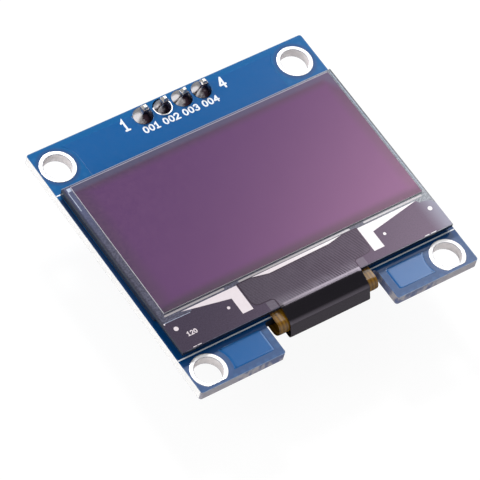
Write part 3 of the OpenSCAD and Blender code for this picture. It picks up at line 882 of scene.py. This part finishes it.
def amber_ribbon(c):
    """Polyimide film over copper tracks: amber, darker where a track lies under it."""
    made, place = blank("Amber polyimide over copper tracks")
    across = split(add(place.tree, "Attribute", out="Vector", attribute_name="lay"))[0]
    track = (across * (RIBBON_TRACKS * math.pi)).math("SINE").between(-0.2, 0.4, 0, 0.75)
    return finish(made, over(track, c.ribbon, c.ribbon_track), satin(grain(place, 0.6), 0.2, 0.26),
                  relief(track, 0.003), ior=FILM_IOR)


def gloss_tape(c):
    """Black polyester tape pulled tight: deep black, glossy, with faint drawn streaks, and a
    painted highlight in grey where it bends over the glass."""
    made, place = blank("Black polyester tape")
    _, y, z = split(place)
    streak = grain(place, 1.2, 3.0, (0.2, 1, 1))
    lip = GLASS[0][1]
    # Painted highlight: a grey band where the tape bends over the glass's edge
    lap_highlight = (y.between(lip - 0.22, lip + 0.02, 0, 0.85)
            * abs(y - (lip - 0.02)).between(0.02, 0.06) * (z > LEDGE_TOP - 0.2))
    black = over(streak, shade(c.tape, 0.8), shade(c.tape, 1.2))
    return finish(made, over(lap_highlight, black, SHADES.tape_lap_highlight), satin(streak, 0.1, 0.14),
                  relief(streak, 0.0015), ior=1.9, specular_tint=tone(SHADES.tape_sheen))


def levelled_tin(c):
    """Levelled tin on copper: white and satin on the rings, dull and darker down the bores."""
    made, place = blank("Levelled tin on copper")
    lumps = grain(place, 0.4)
    wall = hole_reach(place).between(BORE_R + 0.02, BORE_R + 0.08, 1, 0)
    face = over(lumps, shade(c.tin, 0.92), c.tin)
    return finish(made, over(wall, face, over(lumps, *SHADES.bore)), satin(lumps, 0.42, 0.55),
                  relief(lumps, 0.006), metallic=wall.between(0, 1, 1, 0.1))


def reflowed_solder(c):
    """Reflowed solder: grey and satin, with a painted dark reflection of the panel on the flanks
    that face it.
    """
    made, place = blank("Reflowed solder")
    lumps = grain(place, 0.5)
    normal = add(place.tree, "TexCoord", out="Normal")
    facing = add(place.tree, "VectorMath", {0: normal, 1: PANEL_REFLECTION_SIDE}, out="Value",
                 operation="DOT_PRODUCT") + lumps.between(*NOISE_MIDDLE, -0.25, 0.25)
    solder_tone = over(lumps, shade(c.solder, 0.7), c.solder)
    # Painted reflection: flanks that face the panel darkened to its maroon
    return finish(made, over(facing.between(-0.3, 0.35), solder_tone, SHADES.panel_reflection),
                  satin(lumps, 0.2, 0.3), relief(lumps, 0.02), metallic=1.0)


def dress(material, *nodes):
    """Gives nodes of the frame their finish."""
    for node in nodes:
        made = frame["nodes"][node]
        if not made.material_slots:
            made.data.materials.append(material)
        for place in made.material_slots:
            place.material = material


# Operators: one for each piece or group of like pieces

def settings(context, name):
    """One group of settings with its lengths in millimetres, and the colours."""
    return in_mm(getattr(context.scene, name)), context.scene.module_colours


class MODULE_OT_board(bpy.types.Operator):
    """Finish the circuit board and lay the masked copper on its front"""
    bl_idname = "module.board"
    bl_label = "Circuit board"

    def execute(self, context):
        s, c = settings(context, "module_board")
        dress(board_laminate(c), "circuit_board")
        moat, top = RING_R + s.ring_moat, BOARD_TOP + s.pour_height
        parts = [plate(self.header_pour(s, moat), BOARD_TOP, top, s.pour_slope)]
        parts += [plate([self.tab_pour(s, moat, side)], BOARD_TOP, top, s.tab_slope, ROUND_STEPS)
                  for side in (-1, 1)]
        piece("front_copper", parts, masked_copper(c), crease=20)
        return {"FINISHED"}

    def header_pour(self, s, moat):
        """Copper between the upper rings, with a round gap about each pin but the grounded one."""
        hole_x, hole_y = HOLE_CORNER
        top, low = BOARD[1][1] - s.pour_inset, GLASS[1][1] - s.pour_lap
        meet = math.degrees(math.asin((top - hole_y) / moat))
        half = np.concatenate([[(hole_x - moat, low)],
                               arc((hole_x, hole_y), moat, 180, 180 - meet, 10)])
        gaps = [s.pad_window if i + 1 == s.grounded_pin else s.pin_moat
                for i in range(len(PIN_PLACES))]
        return [np.concatenate([mirrored(half), half])] + [
            circle(place, gap, 40, hole=True) for place, gap in zip(PIN_PLACES, gaps)]

    def tab_pour(self, s, moat, side):
        """Copper of one tab, hollowed round its ring."""
        hole_x, hole_y = HOLE_CORNER[0], -HOLE_CORNER[1]
        top, low = GLASS[0][1] - s.tab_top, BOARD[0][1] + s.tab_foot
        meet, foot = (180 - math.degrees(math.asin((y - hole_y) / moat)) for y in (top, low))
        r, inner = s.tab_corner, s.tab_inner + side * BOARD_X
        outline = np.concatenate([arc((inner + r, low + r), r, 180, 270, 4),
                                  arc((hole_x, hole_y), moat, foot, meet, 14),
                                  arc((inner + r, top - r), r, 90, 180, 4)])
        return outline if side > 0 else mirrored(outline)


class MODULE_OT_legend(bpy.types.Operator):
    """Print the numbers and the panel's outline on the board"""
    bl_idname = "module.legend"
    bl_label = "Legend"

    def execute(self, context):
        s, c = settings(context, "module_board")
        drawn, pin_y = [], PIN_PLACES[0][1]
        for i, (x, _) in enumerate(PIN_PLACES):
            drawn += number_outlines(f"00{i + 1}", (x, pin_y - s.legend_drop), s.legend_height,
                                     s.legend_width, s.legend_stroke)
        for x, text in ((PIN_PLACES[0][0] - s.end_gap, "1"), (PIN_PLACES[-1][0] + s.end_gap, "4")):
            drawn += number_outlines(text, (x, pin_y - s.end_drop), s.end_height,
                                     s.end_height * DIGIT_WIDTH, s.end_stroke)
        top = BOARD_TOP + s.pour_height + s.ink_height
        parts = [plate(outline, BOARD_TOP, top + LAYER_GAP * k, INK_SLOPE)
                 for k, outline in enumerate(drawn)]
        half = BOARD[1][0] - BOARD_X - s.outline_inset
        for y in (GLASS[0][1] - LINE_BELOW, GLASS[1][1] + LINE_ABOVE):
            line = stroke([(BOARD_X - half, y), (BOARD_X + half, y)], s.outline_stroke)
            parts.append(plate(line, BOARD_TOP, BOARD_TOP + s.ink_height, LINE_SLOPE))
        # Screened epoxy ink, white and dull
        piece("front_legend", parts, mottled("White legend ink", 0.25, shade(c.ink, 0.88), c.ink,
                                             (0.45, 0.6), 0.006))
        return {"FINISHED"}


class MODULE_OT_rings(bpy.types.Operator):
    """Line the mounting holes with tinned rings, cut flat beside the board's lower edge"""
    bl_idname = "module.rings"
    bl_label = "Mounting rings"

    def execute(self, context):
        s, c = settings(context, "module_solder")
        tin, r, low, high = levelled_tin(c), s.ring_round, LININGS[0][2], LININGS[1][2]
        rim = np.concatenate([arc((RING_R - r, high - r), r, 0, 90, 4),
                              arc((BORE_R + 2 * r, high - r), r, 90, 180, 4)])
        hidden = [(RING_R, 0.0), (BORE_R + 0.04, 0.02), (BORE_R + 0.04, BOARD_TOP - 0.02),
                  (RING_R, BOARD_TOP)]
        profile = np.concatenate([rim, [(BORE_R, high - 4 * r), (BORE_R, low + 4 * r)],
                                  rim[::-1] * (1, -1) + (0, high + low), hidden])
        parts = []
        for place in HOLE_PLACES:
            ring = lathe(profile, place, RING_CUTS)
            ring[..., 1] = np.maximum(ring[..., 1], LININGS[0][1])
            parts.append(grid(ring, wrap_rows=True, wrap_columns=True))
        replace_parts(piece("mounting_rings", parts, tin, crease=40, out=True),
                    "hole_linings")
        dress(tin, "pin_linings", "rear_pads")
        return {"FINISHED"}


class MODULE_OT_panel(bpy.types.Operator):
    """Finish the panel's glass, polariser, foam and driver chip"""
    bl_idname = "module.panel"
    bl_label = "Display panel"

    def execute(self, context):
        c = context.scene.module_colours
        dress(cut_glass(c), "front_glass", "cover_glass")
        dress(polariser_film(c), "polariser")
        dress(plain("foam"), "foam_tape")
        dress(plain("die"), "driver_chip")
        return {"FINISHED"}


class MODULE_OT_ledge(bpy.types.Operator):
    """Print the panel's ledge: dark field, pale windows, chip field, dots and number"""
    bl_idname = "module.ledge"
    bl_label = "Ledge print"

    def execute(self, context):
        s, c = settings(context, "module_ledge")
        self.top_y, self.low_y, self.film = POLARISER[0][1], GLASS[0][1] + PRINT_INSET, s.film
        dark = ledge_ink("Dark print under glass", c.print_dark)
        pale = pale_under_glass("White foam behind clear glass", c.window,
                                linear(SHADES.window_end))
        made = self.layer("ledge_print", [[self.field(s)]], 0, dark, "ledge_film")
        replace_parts(made, "ledge_film")
        windows = [[self.window(s, -1)], [self.window(s, 1)], [self.wedge(s)]]
        self.layer("ledge_windows", windows, 0, pale, "window_white")
        self.layer("chip_field", [[self.chip_outline()]], 1, fanned_tracks(c, s.track_pitch),
                   "ledge_film")
        self.small_marks(s, pale)
        return {"FINISHED"}

    def layer(self, name, shapes, level, material, slot, lift=0.0):
        """Piece of print at a level from the glass up; lift raises all its shapes or each."""
        parts = []
        for shape, rise in zip(shapes, np.broadcast_to(lift, len(shapes))):
            placed = [np.asarray(line) + (PANEL_X, 0) for line in shape]
            parts.append(plate(placed, LEDGE_TOP, LEDGE_TOP + self.film * (level + 1) + rise,
                               FILM_SLOPE))
        return piece(name, parts, material)

    def window(self, s, side):
        """Pale window: an upright bar with a tapering arm."""
        tip, y = s.left_tip if side < 0 else s.right_tip, self.top_y
        outline = np.array([(s.window_near, y - s.window_foot), (s.window_far, y - s.window_foot),
                            (s.window_far, y - s.arm_drop), (tip, y - s.window_drop),
                            (s.window_near, y - s.window_drop)])
        return outline if side > 0 else mirrored(outline)

    def wedge(self, s):
        """Thin pale wedge between the seal line and the chip field."""
        y = self.top_y - s.window_drop + WEDGE_RISE
        return np.array([(-5.9, y), (-3.8, y - 0.48), (3.9, y - 0.36), (6.0, y)])

    def field(self, s):
        """Dark print: the ledge less its windows, with its ends cut back at the top."""
        y, low, end = self.top_y, self.low_y, GLASS[1][0] - PANEL_X - 0.02
        left, right = self.window(s, -1), self.window(s, 1)
        top = y - s.window_drop + WEDGE_RISE
        return np.array([(-end, low), (end, low), (end, y - 1.75), (end - 0.4, y - 1.15),
                         (15.75, y - 1.0), (s.right_tip, y - s.window_drop), *right[[2, 1, 0]],
                         (s.window_near, top), *self.wedge(s)[::-1], (-s.window_near, top),
                         *left[[4, 3, 2]], (-s.left_tip + 1.2, y - 0.85),
                         (-s.left_tip + 1.0, y - 1.02), (-end + 0.15, y - 1.05), (-end, y - 1.4)])

    def chip_outline(self):
        """Field over the driver chip, stepped in where the ribbon is bonded."""
        y = self.top_y
        half = np.array([(5.1, y - 4.87), (5.15, y - 3.95), (5.5, y - 3.72), (6.9, y - 3.7),
                         (7.35, y - 3.55), (7.6, y - 3.1), (7.62, y - 0.52), (6.0, y - 0.52),
                         (3.9, y - 0.88)])
        left = mirrored(half)
        left[0] = (-3.8, y - 1.0)
        return np.concatenate([half, left])

    def small_marks(self, s, pale):
        """Seal line, dots, number, seams, chipped edge, painted glints of light on the glass's rim
        and bond marks.
        """
        top, low = self.top_y, self.low_y
        y = top - s.line_drop - s.line_width / 2
        lines = [stroke([(a, y), (b, y)], s.line_width)
                 for a, b in SEAL_RUNS]
        pairs = [(side * x, *rest) for x, *rest in DOT_PAIRS for side in (-1, 1)]
        dots = [[circle((x, top - drop), r, cuts)] for x, drop, r, cuts in (*pairs, STRAY_DOT)]
        number = number_outlines("120", (NUMBER_PLACE[0], top - NUMBER_PLACE[1]),
                                 s.number_height, s.number_width, s.number_stroke)
        chips = [[rectangle((x, low + 0.02), (x + w, low + 0.1), 0.03, 2)] for x, w in EDGE_CHIPS]
        # Painted highlights: pale lines and a spot on the glass's rim where light catches it
        glint_lines = [stroke(line, width) for line, width in (
            ([(-17.0, 7.8), (-17.0, 10.3)], 0.07), ([(-17.1, y - 0.75), (-13.9, y - 0.8)], 0.05),
            ([(17.1, -6.7), (17.1, 10.7)], 0.06))]
        glints = [[rectangle((-16.95, 10.4), (-16.5, 10.85), 0.04, 2)], *glint_lines]
        squares = [[rectangle((x, low + 0.03), (x + BOND_SIZE, low + 1.05), 0.05, 2)]
                   for x in BOND_MARKS]
        seam = stroke(self.chip_outline(), s.number_stroke, closed=True)
        for name, shapes, level, material, slot, lift in (
                ("seal_line", lines, 0, pale_under_glass(
                    "Cut edge of seal", *(linear(code) for code in SHADES.seal_line)),
                 "glass_edge", LAP_LIFT),
                ("ledge_marks", dots + number, 1, pale, "window_white",
                 [0.0] * len(dots) + [LAYER_GAP * k for k in range(len(number))]),
                ("field_outline", [seam], 1, ledge_ink("Seam under glass", linear(SHADES.seam)),
                 "ledge_film", LAYER_GAP),
                ("edge_chips", chips, 1, pale, "glass_edge", CHIP_LIFT),
                ("glass_glints", glints, 1, plain("glint"), "glass_edge", CHIP_LIFT),
                ("bond_marks", squares, 0, ledge_ink("Pale bond mark under glass",
                                                     linear(SHADES.bond_mark)),
                 "ledge_film", LAP_LIFT)):
            self.layer(name, shapes, level, material, slot, lift)


class MODULE_OT_ribbon(bpy.types.Operator):
    """Fold the ribbon from under the glass to the board's rear"""
    bl_idname = "module.ribbon"
    bl_label = "Ribbon"

    def execute(self, context):
        s, c = settings(context, "module_strips")
        t = s.ribbon_thickness
        high, low = RIBBON[1][2] - t / 2, RIBBON[0][2] + t / 2
        bend_r = (high - low) / 2
        fold_y = RIBBON[0][1] + t / 2 + bend_r
        start = GLASS[0][1] + s.ribbon_bond
        rows = bent_path([(start - fold_y, bend_r, 180), (RIBBON[1][1] - fold_y, 0, 0)],
                         (start, high), 180)
        neck_end = RIBBON[1][1] - s.tail_length
        neck, tail, corner = s.ribbon_width / 2, RIBBON[1][0] - BOARD_X, s.tail_corner

        def half_width(y, run):
            """Neck, then a quarter circle out to the tail's width; the return run alone widens."""
            back = run > start - fold_y + bend_r
            rise = np.clip((y - neck_end) / corner, 0, 1)
            wide = tail - corner + corner * np.sqrt(1 - (1 - rise) ** 2)
            ease = np.clip((y - neck_end + FLARE) / FLARE, 0, 1)
            flare = neck + FLARE * (1 - np.sqrt(1 - ease ** 2))
            return np.where(back & (y >= neck_end - 1e-6), wide, np.where(back, flare, neck))

        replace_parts(strip_piece("folded_ribbon", strip(rows, BOARD_X, half_width, t, columns=41),
                                amber_ribbon(c)), "ribbon")
        return {"FINISHED"}


class MODULE_OT_tape(bpy.types.Operator):
    """Draw the black tape over the ribbon's fold"""
    bl_idname = "module.tape"
    bl_label = "Fold tape"

    def execute(self, context):
        s, c = settings(context, "module_strips")
        t, top_r, knee_r, heel_r = s.tape_thickness, s.tape_top_bend, s.tape_knee, s.tape_heel
        lap, slope, wall = s.tape_lap_tilt, s.tape_slope, s.tape_wall
        high, low = TAPE[1][2] - t / 2 + TAPE_RISE, TAPE[0][2] + t / 2
        knee_z = (high - s.tape_lap * math.sin(lap) - top_r * (math.cos(lap) - math.cos(slope))
                  - s.tape_slope_length * math.sin(slope)
                  - knee_r * (math.cos(slope) - math.cos(wall)))
        wall_length = (knee_z - low - heel_r * (1 + math.cos(wall))) / math.sin(wall)
        lap_deg, slope_deg, wall_deg = (math.degrees(v) for v in (lap, slope, wall))
        rows = bent_path([(s.tape_lap, top_r, slope_deg - lap_deg),
                          (s.tape_slope_length, knee_r, wall_deg - slope_deg),
                          (wall_length, heel_r, 180 - wall_deg), (s.tape_rear, 0, 0)],
                         (GLASS[0][1] + s.tape_lap, high), 180 + lap_deg, 3.0)
        half = (TAPE[1][0] - TAPE[0][0]) / 2

        def ripple(x, run):
            """Slow waves a few hundredths high, as tape has where it bridges a gap."""
            return RIPPLE * np.sin(x * 0.7 + run * 0.5) * np.sin(run * 0.8 + 0.4)

        shape = strip(rows, BOARD_X, lambda y, run: np.full_like(y, half), t, 49, ripple)
        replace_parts(strip_piece("black_tape", shape, gloss_tape(c)), "fold_tape")
        return {"FINISHED"}


class MODULE_OT_solder(bpy.types.Operator):
    """Model the solder on the header's pins and finish the ribbon's beads"""
    bl_idname = "module.solder"
    bl_label = "Solder joints"

    def execute(self, context):
        s, c = settings(context, "module_solder")
        solder = reflowed_solder(c)
        dress(solder, "ribbon_solder")
        grounded = context.scene.module_board.grounded_pin - 1
        for i, place in enumerate(PIN_PLACES):
            foot = s.base_radius * (GROUNDED_FOOT if i == grounded else 1)
            shape = self.joint(s, place, i, foot)
            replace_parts(piece(f"pin_solder_{i + 1}", [shape], solder, crease=60,
                              out=True), f"solder_joint_{i + 1}")
        return {"FINISHED"}

    def joint(self, s, place, seed, foot):
        """Solder drawn up a square pin.

        With u from 0 at the pad to 1 at the top, the round radius falls as (1 - u) to the power
        1.7, and the section turns from round to square as u to the power 2.2. A slow wave round
        the joint, its phase set by the pin's number, makes each lean and swell a little apart.
        """
        pin = (PINS[seed][1][0] - PINS[seed][0][0]) / 2 + s.collar
        u = np.linspace(0, 1, JOINT_ROWS)[:, None]
        angle = np.linspace(0, 2 * math.pi, JOINT_CUTS, endpoint=False)[None, :]
        square = pin / np.maximum(np.abs(np.cos(angle)), np.abs(np.sin(angle)))
        swell = (1 + JOINT_WAVE * np.sin(angle * 2 + 1.7 * seed)
                 + JOINT_WAVE * np.cos(angle - 0.9 * seed))
        belly = BELLY * np.sin(math.pi * np.clip(u * 1.15, 0, 1)) * swell
        round_r = pin + (foot - pin) * (1 - u) ** 1.7 * swell + belly
        radius = (1 - u ** 2.2) * round_r + u ** 2.2 * square
        height = s.joint_height * (1 + 0.06 * np.sin(2.1 * seed + 1))
        z = BOARD_TOP + PAD_THICKNESS + height * u + JOINT_WAVE * u * np.sin(angle + seed)
        points = np.stack([place[0] + radius * np.cos(angle), place[1] + radius * np.sin(angle),
                           np.broadcast_to(z, radius.shape)], -1)
        return grid(points, wrap_columns=True, caps=True)


class MODULE_OT_header(bpy.types.Operator):
    """Finish the header's housing and pins"""
    bl_idname = "module.header"
    bl_label = "Pin header"

    def execute(self, context):
        c = context.scene.module_colours
        # Glass-filled nylon, dull from its mould
        dress(mottled("Moulded black nylon", 0.3, c.housing, shade(c.housing, 1.5), (0.45, 0.6),
                      0.006), "header_housing")
        dress(plain("pin", metallic=1.0), *(f"header_pin_{i}" for i in range(1, 5)))
        return {"FINISHED"}


class MODULE_OT_rear(bpy.types.Operator):
    """Finish the chip parts on the rear"""
    bl_idname = "module.rear"
    bl_label = "Rear parts"

    def execute(self, context):
        dress(plain("plated_end", metallic=1.0), "resistor_ends", "capacitor_ends",
              "regulator_leads", "diode_leads")
        dress(plain("glaze"), "resistor_bodies")
        dress(plain("ceramic"), "capacitor_bodies")
        dress(plain("epoxy"), "regulator_body", "diode_body")
        return {"FINISHED"}


class MODULE_OT_studio(bpy.types.Operator):
    """Set up the floor, lamps, world and camera"""
    bl_idname = "module.studio"
    bl_label = "Studio"

    def execute(self, context):
        scene, s = context.scene, context.scene.module_studio
        scene.view_settings.view_transform = "Standard"
        self.floor(in_mm(s).floor_reach)
        self.world(scene, s)
        self.lamp("back_lamp", s.back_power, *BACK_LAMP)
        self.soften(self.lamp("side_softbox", s.side_power, *SIDE_SOFTBOX))
        self.camera(scene, s)
        return {"FINISHED"}

    def floor(self, reach):
        """Pale floor under the pins: white to the camera, with the module's shadow kept."""
        mesh = bpy.data.meshes.new("floor")
        mesh.from_pydata([(x * reach * MM, y * reach * MM, PINS[0][0][2] * MM)
                          for x, y in ((-1, -1), (1, -1), (1, 1), (-1, 1))], [], [[0, 1, 2, 3]])
        made = bpy.data.objects.new("floor", mesh)
        bpy.context.scene.collection.objects.link(made)
        # Matt paper that also glows white to camera rays alone, so that it stays white and keeps
        # the module's shadow
        paper = bpy.data.materials.new("White paper sweep")
        tree = cleared(paper)
        camera, gloss = (add(tree, "LightPath", out=f"Is {ray} Ray")
                         for ray in ("Camera", "Glossy"))
        seen = painted(SHADES.paper, (camera, SHADES.paper_seen), (gloss, SHADES.paper_in_gloss))
        matt = add(tree, "BsdfDiffuse", {"Color": seen})
        glow = add(tree, "Emission", {"Color": WHITE, "Strength": camera * 0.92})
        add(tree, "OutputMaterial", {"Surface": add(tree, "AddShader", {0: matt, 1: glow})})
        mesh.materials.append(paper)

    def world(self, scene, s):
        """Dim room with a white wall at the left and a soft light in front, white behind."""
        world = bpy.data.worlds.new("Studio room")
        tree = cleared(world)
        way = add(tree, "TexCoord", out="Generated")
        room = s.ceiling
        for (toward, start, end), strength in ((WALL_LOBE, s.wall), (FRONT_LOBE, s.front)):
            lobe = add(tree, "VectorMath", {0: way, 1: toward}, out="Value",
                       operation="DOT_PRODUCT")
            room = lobe.between(start, end, 0, strength) + room
        camera = add(tree, "LightPath", out="Is Camera Ray")
        strength = add(tree, "Mix", {0: camera, 2: room, 3: 1.0}, data_type="FLOAT")
        add(tree, "OutputWorld", {"Surface": add(tree, "Background", {
            "Color": WHITE, "Strength": strength})})
        scene.world = world

    def lamp(self, name, power, size, azimuth, elevation):
        """Square lamp aimed at the module; azimuth 0 is behind it and turns to the left."""
        light = bpy.data.lights.new(name, "AREA")
        light.energy, light.shape, light.size = power, "SQUARE", size
        a, e = math.radians(azimuth), math.radians(elevation)
        toward = Vector((-math.sin(a) * math.cos(e), math.cos(a) * math.cos(e), math.sin(e)))
        made = bpy.data.objects.new(name, light)
        made.matrix_world = (Matrix.Translation(toward * LAMP_DISTANCE)
                             @ toward.to_track_quat("Z", "Y").to_matrix().to_4x4())
        made.visible_camera = False
        bpy.context.scene.collection.objects.link(made)
        return light

    def soften(self, light):
        """Makes the softbox round and fades it to its rim, as light does on stretched cloth."""
        tree = cleared(light)
        spot = add(tree, "NewGeometry", out="Parametric")
        off = add(tree, "VectorMath", {0: spot, 1: (0.5, 0.5, 0)}, out="Value",
                  operation="DISTANCE")
        fade = off.between(0.5, 0.31, smooth=False).math("POWER", 2.0)
        glow = add(tree, "Emission", {"Color": WHITE, "Strength": fade})
        add(tree, "OutputLight", {"Surface": glow})

    def camera(self, scene, s):
        """Camera on a sphere about its aim, rolled about its own axis."""
        data = bpy.data.cameras.new("camera")
        data.lens, data.sensor_width = s.lens, SENSOR_WIDTH
        data.clip_start, data.clip_end = 0.01, 10.0
        back = Vector((math.sin(s.azimuth) * math.cos(s.elevation),
                       -math.cos(s.azimuth) * math.cos(s.elevation), math.sin(s.elevation)))
        right = (-back).cross(Vector((0, 0, 1))).normalized()
        up = right.cross(-back)
        turned = right * math.cos(s.roll) + up * math.sin(s.roll)
        upright = up * math.cos(s.roll) - right * math.sin(s.roll)
        made = bpy.data.objects.new("camera", data)
        spot = Vector(s.aim) + back * s.camera_distance
        axes = (turned, upright, back, spot)
        made.matrix_world = Matrix([[axis[i] for axis in axes] for i in range(3)]
                                   + [[0, 0, 0, 1]])
        scene.collection.objects.link(made)
        scene.camera = made


class MODULE_PT_panel(bpy.types.Panel):
    """Sidebar panel that lists the module's pieces"""
    bl_idname = "MODULE_PT_panel"
    bl_label = "Display Module"
    bl_space_type = "VIEW_3D"
    bl_region_type = "UI"
    bl_category = "Display Module"

    def draw(self, context):
        for step in STEPS:
            self.layout.operator(step.bl_idname)


GROUPS = {"module_board": BoardFinish, "module_ledge": LedgeFinish,
          "module_strips": StripFinish, "module_solder": SolderFinish,
          "module_colours": ModuleColours, "module_studio": StudioSettings}
STEPS = (MODULE_OT_board, MODULE_OT_legend, MODULE_OT_rings, MODULE_OT_panel, MODULE_OT_ledge,
         MODULE_OT_ribbon, MODULE_OT_tape, MODULE_OT_solder, MODULE_OT_header, MODULE_OT_rear,
         MODULE_OT_studio)


def register():
    """Registers the classes and hangs the settings on the scene."""
    for group in GROUPS.values():
        bpy.utils.register_class(group)
    for name, group in GROUPS.items():
        setattr(bpy.types.Scene, name, PointerProperty(type=group))
    for step in STEPS:
        bpy.utils.register_class(step)
    bpy.utils.register_class(MODULE_PT_panel)


def unregister():
    """Removes the settings and the classes."""
    bpy.utils.unregister_class(MODULE_PT_panel)
    for step in reversed(STEPS):
        bpy.utils.unregister_class(step)
    for name, group in reversed(GROUPS.items()):
        delattr(bpy.types.Scene, name)
        bpy.utils.unregister_class(group)


def main():
    """Builds every piece in order."""
    register()
    for step in STEPS:
        area, name = step.bl_idname.split(".")
        getattr(getattr(bpy.ops, area), name)()


if __name__ == "__main__":
    main()
